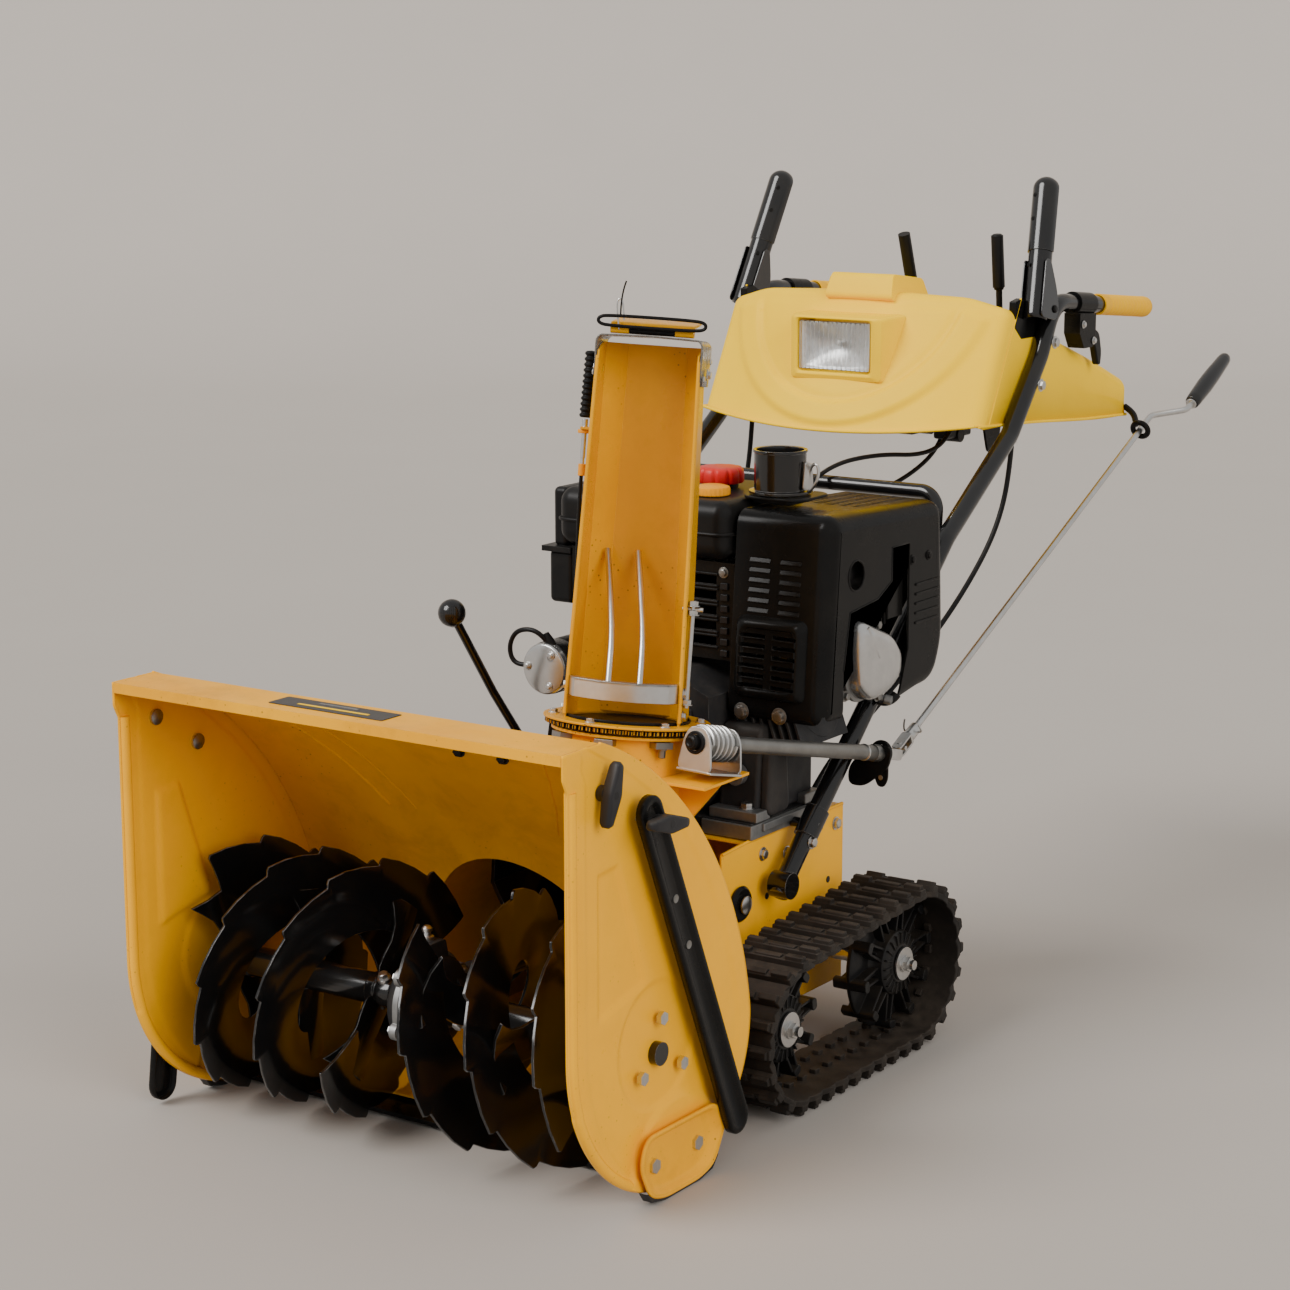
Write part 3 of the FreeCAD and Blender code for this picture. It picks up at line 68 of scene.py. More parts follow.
def axes_matrix(origin, side, along, up):
    """A matrix whose X, Y and Z columns are the three directions given."""
    made = Matrix((side.normalized(), along.normalized(), up.normalized())).transposed().to_4x4()
    made.translation = origin
    return made


def ring_frame(turn=CHUTE_TURN):
    """Z is the turning ring's axis and -Y the way the chute faces."""
    lean = Matrix.Rotation(-RING_LEAN, 4, "X")
    return Matrix.Translation(RING_CENTRE) @ lean @ Matrix.Rotation(turn, 4, "Z")


def line_frame(start, end):
    """Y runs from start to end, Z is as near up as it can be."""
    along = (end - start).normalized()
    side = along.cross(Vector((0, 0, 1)))
    return axes_matrix(start, side, along, side.cross(along))


def lever_frame():
    """Z runs up the left clutch lever and Y to the rear."""
    up = LEVER_LEAN.normalized()
    grip = Vector((0, math.cos(GRIP_TILT), -math.sin(GRIP_TILT)))
    side = grip.cross(up).normalized()
    return axes_matrix(LEVER_PIVOT, side, up.cross(side), up)


MIRROR = Matrix.Scale(-1, 4, (1, 0, 0))


# ---------------------------------------------------------------- materials

class Finish:
    """A procedural material: a Principled shader with the nodes that feed it."""

    def __init__(self, name, roughness=0.4, metallic=0.0, coat=0.0, coat_rough=0.15, specular=0.28):
        self.material = bpy.data.materials.new(name)
        self.material.use_nodes = True
        self.tree = self.material.node_tree
        self.shader = self.tree.nodes["Principled BSDF"]
        self.place = self.add("ShaderNodeTexCoord").outputs["Object"]
        self.shader.inputs["Roughness"].default_value = roughness
        self.shader.inputs["Metallic"].default_value = metallic
        self.shader.inputs["Specular IOR Level"].default_value = specular
        self.shader.inputs["Coat Weight"].default_value = coat
        self.shader.inputs["Coat Roughness"].default_value = coat_rough

    def add(self, kind, inputs=None, **settings):
        node = self.tree.nodes.new(kind)
        for key, value in settings.items():
            setattr(node, key, value)
        for key, value in (inputs or {}).items():
            self.put(node.inputs[key], value)
        return node

    def put(self, socket, value):
        if isinstance(value, bpy.types.NodeSocket):
            self.tree.links.new(value, socket)
        else:
            socket.default_value = value

    def set(self, name, value):
        self.put(self.shader.inputs[name], value)

    def stretched(self, scale):
        return self.add("ShaderNodeMapping", {"Vector": self.place, "Scale": scale}).outputs[0]

    def noise(self, scale, detail=4.0, rough=0.6, where=None, distortion=0.0):
        inputs = {"Vector": where or self.place, "Scale": scale, "Detail": detail, "Roughness": rough,
                  "Distortion": distortion}
        return self.add("ShaderNodeTexNoise", inputs).outputs["Fac"]

    def cells(self, scale, where=None, feature="F1"):
        inputs = {"Vector": where or self.place, "Scale": scale}
        return self.add("ShaderNodeTexVoronoi", inputs, feature=feature).outputs["Distance"]

    def step(self, value, low, high, out_low=0.0, out_high=1.0):
        node = self.add("ShaderNodeMapRange", {"Value": value, "From Min": low, "From Max": high,
                                               "To Min": out_low, "To Max": out_high}, clamp=True)
        return node.outputs["Result"]

    def calc(self, operation, a, b=0.0):
        node = self.add("ShaderNodeMath", {0: a, 1: b}, operation=operation)
        return node.outputs[0]

    def mix(self, factor, a, b, blend="MIX"):
        node = self.add("ShaderNodeMix", {0: factor, 6: a, 7: b}, data_type="RGBA", blend_type=blend)
        return node.outputs[2]

    def edges(self, radius):
        """A rounded normal, and a mask that is 1 on sharp outer edges."""
        rounded = self.add("ShaderNodeBevel", {"Radius": radius}, samples=4).outputs[0]
        true = self.add("ShaderNodeNewGeometry").outputs["Normal"]
        dot = self.add("ShaderNodeVectorMath", {0: rounded, 1: true}, operation="DOT_PRODUCT")
        return rounded, self.step(dot.outputs["Value"], 0.995, 0.90)

    def bump(self, height, strength, distance, normal=None):
        inputs = {"Height": height, "Strength": strength, "Distance": distance}
        if normal is not None:
            inputs["Normal"] = normal
        self.set("Normal", self.add("ShaderNodeBump", inputs).outputs[0])

    def upward(self):
        """How far the surface faces up, from 0 to 1."""
        normal = self.add("ShaderNodeNewGeometry").outputs["Normal"]
        z = self.add("ShaderNodeSeparateXYZ", {0: normal}).outputs["Z"]
        return self.step(z, 0.2, 0.9)


def rgb(r, g, b):
    """A colour with full opacity."""
    return (r, g, b, 1.0)


def painted(name, light, dark, roughness, coat, dirt, dirt_amount, specks, wear, wear_amount, grain=0.05,
            specular=0.2):
    """Sprayed paint: soft shade changes, dirt film, chips and specks, and rubbed edges."""
    f = Finish(name, roughness, 0.0, coat, specular=specular)
    shade = f.mix(f.step(f.noise(5.0, 5.0), 0.35, 0.7), light, dark)
    film = f.calc("MULTIPLY", f.step(f.noise(11.0, 8.0, 0.7, distortion=0.4), 0.48, 0.78), dirt_amount)
    shade = f.mix(film, shade, dirt)
    spot = f.step(f.cells(95.0), 0.16, 0.08)
    patch = f.step(f.noise(6.0, 3.0), 0.5, 0.62)
    shade = f.mix(f.calc("MULTIPLY", f.calc("MULTIPLY", spot, patch), specks), shade, dirt)
    rounded, edge = f.edges(0.0012)
    rub = f.calc("MULTIPLY", edge, f.step(f.noise(38.0, 6.0, 0.7), 0.42, 0.62))
    f.set("Base Color", f.mix(f.calc("MULTIPLY", rub, wear_amount), shade, wear))
    f.set("Roughness", f.step(f.noise(16.0, 6.0), 0.3, 0.75, roughness * 0.8, roughness * 1.35))
    f.bump(f.noise(420.0, 2.0), grain, 0.0004, rounded)
    return f.material


def plated(name, light, dark, roughness, streak=(1, 1, 1), metallic=1.0):
    """Zinc plate or bare metal: cloudy tone, fine streaks and a little tarnish."""
    f = Finish(name, roughness, metallic)
    cloud = f.step(f.noise(40.0, 2.0), 0.3, 0.75, 0.0, 0.8)
    grain = f.step(f.noise(160.0, 4.0, where=f.stretched(streak)), 0.3, 0.7)
    tone = f.mix(cloud, light, dark)
    f.set("Base Color", f.mix(f.calc("MULTIPLY", grain, 0.2), tone, dark))
    f.set("Roughness", f.step(grain, 0.0, 1.0, roughness * 0.92, roughness * 1.12))
    rounded, _ = f.edges(0.0007)
    f.bump(grain, 0.02, 0.0001, rounded)
    return f.material


def moulded(name, light, dark, roughness, texture=180.0, depth=0.12, dust=None, dust_amount=0.0, wax=0.0,
            specular=0.25):
    """Moulded plastic or rubber: fine grain, slight shade changes and dust where it faces up."""
    f = Finish(name, roughness, specular=specular)
    shade = f.mix(f.step(f.noise(7.0, 5.0), 0.35, 0.7), light, dark)
    if dust:
        settled = f.calc("MULTIPLY", f.upward(), f.step(f.noise(30.0, 6.0, 0.7), 0.35, 0.65))
        scattered = f.step(f.noise(14.0, 7.0, 0.7), 0.5, 0.75, 0.0, 0.6)
        film = f.calc("MULTIPLY", f.calc("MAXIMUM", settled, scattered), dust_amount)
        shade = f.mix(film, shade, dust)
        f.set("Roughness", f.step(film, 0.0, 1.0, roughness, min(1.0, roughness + 0.35)))
    f.set("Base Color", shade)
    if wax:
        f.set("Subsurface Weight", wax)
        f.set("Subsurface Radius", (0.01, 0.006, 0.002))
    rounded, _ = f.edges(0.0012)
    f.bump(f.noise(texture * 6, 2.0), depth, 0.0003, rounded)
    return f.material


def clear_plastic(name, colour, roughness, clearness):
    """Clear or smoky plastic with a scuffed surface."""
    f = Finish(name, roughness)
    scuff = f.step(f.noise(60.0, 8.0, 0.75), 0.45, 0.7)
    f.set("Base Color", f.mix(f.calc("MULTIPLY", scuff, 0.35), colour, rgb(0.5, 0.5, 0.48)))
    f.set("Roughness", f.step(scuff, 0.0, 1.0, roughness, roughness + 0.3))
    f.set("Transmission Weight", clearness)
    f.set("IOR", 1.49)
    return f.material


def plain_floor():
    f = Finish("studio_floor", 0.75)
    f.set("Base Color", f.mix(f.noise(1.5, 3.0), rgb(0.385, 0.352, 0.318), rgb(0.405, 0.370, 0.335)))
    return f.material


DIRT = rgb(0.12, 0.05, 0.008)
STEEL = rgb(0.30, 0.29, 0.28)
M = {
    "yellow": painted("yellow_paint", rgb(0.94, 0.44, 0.0), rgb(0.89, 0.40, 0.0), 0.34, 0.06, DIRT, 0.08,
                      0.35, rgb(0.55, 0.28, 0.03), 0.5),
    "yellow_used": painted("yellow_used", rgb(0.90, 0.41, 0.0), rgb(0.78, 0.33, 0.0), 0.36, 0.06, DIRT, 0.30,
                           0.95, rgb(0.35, 0.18, 0.05), 0.7),
    "chute_yellow": painted("chute_yellow", rgb(0.72, 0.335, 0.0), rgb(0.64, 0.285, 0.0), 0.30, 0.08, DIRT,
                            0.16, 0.9, rgb(0.9, 0.55, 0.1), 0.5),
    "black": painted("black_enamel", rgb(0.004, 0.004, 0.0045), rgb(0.007, 0.0065, 0.006), 0.14, 0.5,
                     rgb(0.05, 0.035, 0.02), 0.16, 0.2, STEEL, 0.9, specular=0.35),
    "satin_black": painted("satin_black", rgb(0.005, 0.005, 0.005), rgb(0.008, 0.0075, 0.007), 0.24, 0.03,
                           rgb(0.06, 0.045, 0.03), 0.08, 0.25, rgb(0.08, 0.07, 0.06), 0.6, specular=0.12),
    "cast_dark": painted("cast_dark", rgb(0.016, 0.016, 0.017), rgb(0.028, 0.026, 0.025), 0.45, 0.0,
                         rgb(0.08, 0.065, 0.05), 0.4, 0.4, rgb(0.20, 0.19, 0.18), 0.6, 0.5),
    "zinc": plated("zinc_plate", rgb(0.70, 0.70, 0.69), rgb(0.58, 0.57, 0.55), 0.30),
    "zinc_dull": plated("zinc_dull", rgb(0.36, 0.355, 0.34), rgb(0.27, 0.265, 0.25), 0.42, (1, 6, 1)),
    "alloy": plated("cast_alloy", rgb(0.34, 0.34, 0.335), rgb(0.22, 0.22, 0.215), 0.46, (1, 1, 1), 0.85),
    "bright_alloy": plated("bright_alloy", rgb(0.62, 0.62, 0.61), rgb(0.52, 0.52, 0.51), 0.24, (1, 1, 1),
                           0.9),
    "lemon": moulded("lemon_plastic", rgb(0.98, 0.60, 0.0), rgb(0.94, 0.565, 0.0), 0.36, 90.0, 0.03,
                     rgb(0.80, 0.46, 0.0), 0.15, 0.03, specular=0.06),
    "grip": moulded("grip_rubber", rgb(0.88, 0.46, 0.0), rgb(0.84, 0.42, 0.0), 0.50, 60.0, 0.15,
                    rgb(0.7, 0.4, 0.1), 0.15, 0.05, specular=0.15),
    "red": moulded("red_plastic", rgb(0.62, 0.014, 0.012), rgb(0.52, 0.010, 0.009), 0.35, 90.0, 0.04,
                   rgb(0.4, 0.20, 0.16), 0.2),
    "amber": moulded("amber_plastic", rgb(0.86, 0.34, 0.0), rgb(0.78, 0.29, 0.0), 0.35, 90.0, 0.04,
                     rgb(0.5, 0.3, 0.08), 0.2, 0.04),
    "plastic": moulded("black_plastic", rgb(0.005, 0.005, 0.0055), rgb(0.008, 0.0075, 0.007), 0.36, 120.0,
                       0.06, rgb(0.08, 0.07, 0.06), 0.12, specular=0.2),
    "graphite": moulded("graphite_knob", rgb(0.022, 0.021, 0.022), rgb(0.015, 0.0145, 0.015), 0.42, 120.0,
                        0.15, rgb(0.10, 0.09, 0.08), 0.3),
    "rubber": moulded("track_rubber", rgb(0.013, 0.011, 0.0095), rgb(0.022, 0.017, 0.013), 0.55, 40.0, 0.4,
                      rgb(0.085, 0.065, 0.048), 0.5),
    "wheel": moulded("wheel_plastic", rgb(0.006, 0.006, 0.0065), rgb(0.012, 0.011, 0.010), 0.30, 120.0, 0.08,
                     rgb(0.06, 0.045, 0.03), 0.35),
    # This near-black film covers the lip's plate, and also fills slits, vents, square openings, holes and a
    # knob's recess as painted shade in those openings.
    "dark_plate_and_hole_shade": moulded("plate_film_and_painted_hole_shade", rgb(0.010, 0.010, 0.011), rgb(0.014, 0.014, 0.015), 0.3, 200.0, 0.02),
    "smoke": clear_plastic("smoky_hood", rgb(0.30, 0.28, 0.25), 0.16, 0.72),
    "lens": clear_plastic("lamp_lens", rgb(0.98, 0.985, 0.985), 0.03, 1.0),
    "mirror": plated("lamp_mirror", rgb(0.95, 0.955, 0.96), rgb(0.88, 0.885, 0.89), 0.34, (1, 1, 1), 0.55),
}


# ---------------------------------------------------------------- making pieces

def finish_piece(obj, material, body, replaced=()):
    obj.data.materials.append(M[material])
    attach(obj, body)
    if replaced:
        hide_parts(*replaced)
    return obj


def piece(name, mesh, material, body, replaced=(), bevel=0.0, segments=2, smooth=34, thick=0.0,
          even=True, place=None):
    """Links a bmesh, in millimetres, as a finished piece."""
    if place is not None:
        mesh.transform(place)
        if place.determinant() < 0:
            bmesh.ops.reverse_faces(mesh, faces=mesh.faces)
    mesh.transform(PLACE)
    data = bpy.data.meshes.new(name)
    mesh.to_mesh(data)
    mesh.free()
    data.shade_smooth()
    data.set_sharp_from_angle(angle=math.radians(smooth))
    obj = bpy.data.objects.new(name, data)
    bpy.context.scene.collection.objects.link(obj)
    if thick:
        solid = obj.modifiers.new("sheet", "SOLIDIFY")
        solid.thickness = thick * 0.001
        solid.offset = -1
        solid.use_even_offset = even
    if bevel:
        rounder = obj.modifiers.new("edges", "BEVEL")
        rounder.width = bevel * 0.001
        rounder.segments = segments
        rounder.limit_method = "ANGLE"
        rounder.angle_limit = math.radians(smooth)
        rounder.harden_normals = True
    return finish_piece(obj, material, body, replaced)


def grid(rows, closed_rows=False, closed_columns=False):
    """A sheet of quads through rows of points."""
    mesh = bmesh.new()
    verts = [[mesh.verts.new(p) for p in row] for row in rows]
    row_count, column_count = len(rows), len(rows[0])
    for i in range(row_count if closed_rows else row_count - 1):
        for j in range(column_count if closed_columns else column_count - 1):
            k, n = (i + 1) % row_count, (j + 1) % column_count
            mesh.faces.new((verts[i][j], verts[i][n], verts[k][n], verts[k][j]))
    return mesh


def cap_ends(mesh):
    """Closes every open boundary loop with one face."""
    open_edges = [e for e in mesh.edges if e.is_boundary]
    bmesh.ops.holes_fill(mesh, edges=open_edges, sides=0)
    bmesh.ops.recalc_face_normals(mesh, faces=mesh.faces)
    return mesh


def block(low, high):
    """A box between two corners."""
    mesh = bmesh.new()
    bmesh.ops.create_cube(mesh, size=1.0)
    low, high = Vector(low), Vector(high)
    size = high - low
    mesh.transform(Matrix.Translation((low + high) / 2) @ Matrix.Diagonal((size.x, size.y, size.z, 1)))
    return mesh


def merged(meshes):
    """One bmesh holding all the given ones."""
    whole = bmesh.new()
    for part in meshes:
        data = bpy.data.meshes.new("part")
        part.to_mesh(data)
        part.free()
        whole.from_mesh(data)
        bpy.data.meshes.remove(data)
    return whole


def copy_of(mesh, matrix):
    """A moved copy of a bmesh."""
    made = mesh.copy()
    made.transform(matrix)
    if matrix.determinant() < 0:
        bmesh.ops.reverse_faces(made, faces=made.faces)
    return made


def carved(mesh, cutter):
    """The mesh with the cutter's volume taken away; both are used up."""
    solids = []
    for part in (mesh, cutter):
        data = bpy.data.meshes.new("carving")
        bmesh.ops.recalc_face_normals(part, faces=part.faces)
        part.to_mesh(data)
        part.free()
        solids.append(bpy.data.objects.new("carving", data))
        bpy.context.scene.collection.objects.link(solids[-1])
    cut = solids[0].modifiers.new("cut", "BOOLEAN")
    cut.operation = "DIFFERENCE"
    cut.solver = "MANIFOLD"
    cut.object = solids[1]
    shape = solids[0].evaluated_get(bpy.context.evaluated_depsgraph_get())
    made = bmesh.new()
    made.from_mesh(shape.to_mesh())
    shape.to_mesh_clear()
    for solid in solids:
        data = solid.data
        bpy.data.objects.remove(solid)
        bpy.data.meshes.remove(data)
    return made


def turned(profile, segments=32):
    """A body of revolution about Z from (radius, height) points; radius 0 closes an end."""
    rows = []
    for k in range(segments):
        angle = 2 * math.pi * k / segments
        rows.append([Vector((r * math.cos(angle), r * math.sin(angle), h)) for r, h in profile])
    mesh = grid(rows, closed_rows=True)
    bmesh.ops.remove_doubles(mesh, verts=mesh.verts, dist=1e-4)
    bmesh.ops.recalc_face_normals(mesh, faces=mesh.faces)
    return mesh


def along(origin, direction):
    """A matrix that takes Z to the direction given, at origin."""
    turn = Vector(direction).to_track_quat("Z", "Y").to_matrix().to_4x4()
    return Matrix.Translation(Vector(origin)) @ turn


def slab(outline, low, high, axis="x"):
    """A prism of an outline of two coordinates along the axis named."""
    mesh = bmesh.new()
    orders = {"x": lambda u, v, w: (w, u, v), "y": lambda u, v, w: (u, w, v), "z": lambda u, v, w: (u, v, w)}
    order = orders[axis]
    bottom = [mesh.verts.new(order(u, v, low)) for u, v in outline]
    top = [mesh.verts.new(order(u, v, high)) for u, v in outline]
    mesh.faces.new(bottom)
    mesh.faces.new(top)
    for i in range(len(outline)):
        n = (i + 1) % len(outline)
        mesh.faces.new((bottom[i], bottom[n], top[n], top[i]))
    bmesh.ops.recalc_face_normals(mesh, faces=mesh.faces)
    return mesh


def rounded(corners, radius, steps=6):
    """An outline with rounded corners, as a list of points."""
    points = []
    count = len(corners)
    for i in range(count):
        here = Vector(corners[i])
        before = Vector(corners[i - 1]) - here
        after = Vector(corners[(i + 1) % count]) - here
        reach = min(radius, 0.45 * before.length, 0.45 * after.length)
        a, b = here + before.normalized() * reach, here + after.normalized() * reach
        for k in range(steps + 1):
            t = k / steps
            points.append(tuple(a * (1 - t) ** 2 + here * 2 * t * (1 - t) + b * t * t))
    return points


def pipe(name, points, radius, material, body, replaced=(), smooth=True, closed=False, sides=6):
    """A round bar or cable along a smooth line through control points."""
    curve = bpy.data.curves.new(name, "CURVE")
    curve.dimensions = "3D"
    spline = curve.splines.new("NURBS" if smooth else "POLY")
    spline.points.add(len(points) - 1)
    for target, point in zip(spline.points, points):
        target.co = (*(PLACE @ Vector(point)), 1.0)
    if smooth:
        spline.order_u = 3
        spline.use_endpoint_u = not closed
        spline.resolution_u = 8
    spline.use_cyclic_u = closed
    curve.bevel_depth = radius * 0.001
    curve.bevel_resolution = sides
    curve.use_fill_caps = True
    obj = bpy.data.objects.new(name, curve)
    bpy.context.scene.collection.objects.link(obj)
    return finish_piece(obj, material, body, replaced)


def hexagon(radius, height, washer=1.35):
    """A bolt head on its washer, standing on Z = 0."""
    rim = radius * washer
    base = turned([(0, 0), (rim, 0), (rim, 1.4), (radius * 0.9, 1.6), (0, 1.6)], 28)
    sides = [(radius * math.cos(math.pi * k / 3), radius * math.sin(math.pi * k / 3)) for k in range(6)]
    head = slab(sides, 1.5, height, "z")
    crown = turned([(0, height - 0.6), (radius * 0.78, height - 0.6), (radius * 0.7, height + 0.5),
                    (0, height + 0.8)], 24)
    return merged([base, head, crown])


def bolts(name, spots, radius, height, material="zinc", body="chassis", replaced=(),
          both=False):
    """Bolt heads at (point, direction) spots, and on both sides of the machine where asked."""
    heads = []
    for point, direction in spots:
        place = along(point, direction)
        head = hexagon(radius, height)
        head.transform(place)
        heads.append(head)
    if both:
        heads += [copy_of(h, MIRROR) for h in heads]
    return piece(name, merged(heads), material, body, replaced, bevel=0.5)


def smoothstep(value, low, high):
    """A smooth rise from 0 to 1 between two values."""
    t = min(1.0, max(0.0, (value - low) / (high - low)))
    return t * t * (3 - 2 * t)


def bezier(points, t):
    """A point on the Bezier curve of the control points."""
    points = [Vector(p) for p in points]
    while len(points) > 1:
        points = [a.lerp(b, t) for a, b in zip(points[:-1], points[1:])]
    return points[0]


def arc_through(a, b, c, count):
    """Points on the circle arc from a through b to c."""
    a, b, c = Vector(a), Vector(b), Vector(c)
    d = 2 * (a.x * (b.y - c.y) + b.x * (c.y - a.y) + c.x * (a.y - b.y))
    aa, bb, cc = a.length_squared, b.length_squared, c.length_squared
    ux = (aa * (b.y - c.y) + bb * (c.y - a.y) + cc * (a.y - b.y)) / d
    uy = (aa * (c.x - b.x) + bb * (a.x - c.x) + cc * (b.x - a.x)) / d
    centre = Vector((ux, uy))
    start = math.atan2(a.y - uy, a.x - ux)
    sweep = (math.atan2(c.y - uy, c.x - ux) - start + math.pi) % (2 * math.pi) - math.pi
    middle = (math.atan2(b.y - uy, b.x - ux) - start + math.pi) % (2 * math.pi) - math.pi
    if sweep * middle < 0:
        sweep -= math.copysign(2 * math.pi, sweep)
    radius = (a - centre).length
    angles = [start + sweep * k / count for k in range(count + 1)]
    return [centre + Vector((math.cos(angle), math.sin(angle))) * radius for angle in angles]


def resampled(points, count):
    """The same line with count + 1 evenly spaced points."""
    lengths = [0.0]
    for a, b in zip(points[:-1], points[1:]):
        lengths.append(lengths[-1] + (b - a).length)
    made, i = [], 0
    for k in range(count + 1):
        target = lengths[-1] * k / count
        while i < len(points) - 2 and lengths[i + 1] < target:
            i += 1
        part = (target - lengths[i]) / max(1e-9, lengths[i + 1] - lengths[i])
        made.append(points[i].lerp(points[i + 1], part))
    return made


# ---------------------------------------------------------------- CAD parts that show as they are

CAD_FINISH = {
    "yellow": ["tractor_frame", "side_plate_left", "side_plate_right"],
    "yellow_used": ["housing_shell", "impeller_housing"],
    "chute_yellow": ["chute"],
    "black": ["auger_flights", "auger_shaft", "impeller", "drift_cutter_left", "drift_cutter_right",
              "clutch_lever_left", "clutch_lever_right", "crank_grip", "height_lever", "handlebars",
              "crossbar"],
    "satin_black": ["belt_cover", "engine_cover", "skid_shoes",
                    "trigger_mounts", "control_brackets", "scraper_bar", "blower_housing", "engine_pulley",
                    "impeller_pulley", "deflector"],
    "zinc": ["chute_guard", "worm_shaft", "crank_rod", "fasteners", "track_axles"],
    "cast_dark": ["auger_gearbox", "engine_block", "engine_cylinder"],
    "bright_alloy": ["valve_cover", "starter_motor"],
    "plastic": ["deflector_lever", "speed_lever", "intake_cup", "carburettor_box", "fuel_tank",
                "recoil_handle", "steering_trigger_left", "steering_trigger_right", "control_cables"],
    "wheel": ["drive_wheel_left", "drive_wheel_right", "idler_wheel_left", "idler_wheel_right"],
    "rubber": ["track_belts", "drive_belt"],
    "graphite": ["clamp_knob_left", "clamp_knob_right", "front_knob_left", "front_knob_right"],
    "lemon": ["console"],
    "grip": ["handle_grips"],
    "red": ["fuel_cap"],
    "lens": ["headlight_lens"],
}


def finish_cad():
    """Gives the CAD objects their materials."""
    for finish, names in CAD_FINISH.items():
        for name in names:
            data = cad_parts[name].data
            data.materials.clear()
            data.materials.append(M[finish])


# ---------------------------------------------------------------- camera, light and floor

LENS = 80.5
CAMERA_AT = (2.2666, -3.5717, 1.3953)
CAMERA_AZIMUTH = 34.41
CAMERA_DOWN = 11.52
CAMERA_ROLL = -0.09
WORLD, KEY, SIDE = 0.80, 3.0, 2.0


def make_camera():
    """The camera at the photograph's angle."""
    data = bpy.data.cameras.new("camera")
    data.lens = LENS
    data.sensor_width = 36
    camera = bpy.data.objects.new("camera", data)
    bpy.context.scene.collection.objects.link(camera)
    turn = Matrix.Rotation(math.radians(CAMERA_AZIMUTH), 4, "Z")
    down = Matrix.Rotation(math.radians(90 - CAMERA_DOWN), 4, "X")
    roll = Matrix.Rotation(math.radians(CAMERA_ROLL), 4, "Z")
    camera.matrix_world = Matrix.Translation(CAMERA_AT) @ turn @ down @ roll
    bpy.context.scene.camera = camera


def soft_sun(name, towards, strength, spread, colour):
    """A distant lamp with soft shadows, shining from the given direction."""
    lamp = bpy.data.lights.new(name, "SUN")
    lamp.energy = strength
    lamp.angle = math.radians(spread)
    lamp.color = colour
    obj = bpy.data.objects.new(name, lamp)
    obj.rotation_euler = Vector(towards).to_track_quat("Z", "Y").to_euler()
    bpy.context.scene.collection.objects.link(obj)
    return obj


def make_backdrop():
    """A floor that curves up into a plain wall behind the machine."""
    profile = [(-14, 0), (-6, 0), (0, 0), (5, 0), (8, 0)]
    bend = [math.radians(a) for a in range(10, 91, 10)]
    profile += [(8 + 4 * math.sin(a), 4 - 4 * math.cos(a)) for a in bend]
    profile += [(12, 9), (12, 14)]
    away = Matrix.Rotation(math.radians(CAMERA_AZIMUTH), 4, "Z")
    rows = [[away @ Vector((x, y, z)) for y, z in profile] for x in (-16, -8, 0, 8, 16)]
    mesh = grid(rows)
    bmesh.ops.recalc_face_normals(mesh, faces=mesh.faces)
    data = bpy.data.meshes.new("backdrop")
    mesh.to_mesh(data)
    mesh.free()
    data.shade_smooth()
    sheet = bpy.data.objects.new("backdrop", data)
    bpy.context.scene.collection.objects.link(sheet)
    data.materials.append(plain_floor())


def make_studio():
    """The soft lights and the backdrop."""
    make_backdrop()
    world = bpy.data.worlds.new("studio")
    bpy.context.scene.world = world
    world.use_nodes = True
    world.node_tree.nodes["Background"].inputs["Color"].default_value = rgb(0.80, 0.79, 0.775)
    world.node_tree.nodes["Background"].inputs["Strength"].default_value = WORLD
    soft_sun("key", (-0.40, -0.75, 0.78), KEY, 34, (1.0, 0.985, 0.965))
    soft_sun("side", (0.86, -0.30, 0.42), SIDE, 40, (1.0, 0.99, 0.98)).visible_glossy = False


# ---------------------------------------------------------------- auger housing

PLATE_FRONT = arc_through((154, 18), (46, 102), (8, 225), 24) + [Vector((8, 557)), Vector((0, 574)),
                                                                 Vector((0, 605))]
PLATE_REAR = (arc_through((262, 14), (370, 77), (407, 189), 20)
              + arc_through((407, 189), (308, 431), (76, 605), 40)[1:])
PANEL = [(70, 262), (168, 285), (112, 448), (70, 445)]
BEARING = Vector((192, 200))


def inside_distance(point, corners):
    """How far a point lies inside a convex outline given anticlockwise; negative outside."""
    nearest = 1e9
    for i, corner in enumerate(corners):
        a, b = Vector(corner), Vector(corners[(i + 1) % len(corners)])
        side = (b - a).normalized()
        nearest = min(nearest, side.x * (point.y - a.y) - side.y * (point.x - a.x))
    return nearest


def plate_relief(point, from_edge):
    """Pressed shape of an end plate: how far it stands out from its flat face."""
    height = 1.2 * smoothstep(from_edge, 40, 32)
    height -= 4.0 * smoothstep(inside_distance(point, PANEL), -3, 5)
    height -= 2.6 * smoothstep((point - BEARING).length, 84, 78)
    arch = math.hypot((point.x - 236) / 104, (point.y - 8) / 112)
    height += 4.0 * smoothstep(arch, 1.06, 0.98)
    return height * smoothstep(from_edge, 0, 6)


def plate_sheet():
    rows = []
    row_count, column_count = 170, 84
    fronts, rears = resampled(PLATE_FRONT, row_count), resampled(PLATE_REAR, row_count)
    for front, rear in zip(fronts, rears):
        row = []
        for j in range(column_count + 1):
            point = front.lerp(rear, j / column_count)
            edge = min((point - front).length, (point - rear).length + 6)
            row.append(Vector((HALF_WIDTH + plate_relief(point, edge), point.x, point.y)))
        rows.append(row)
    return grid(rows)


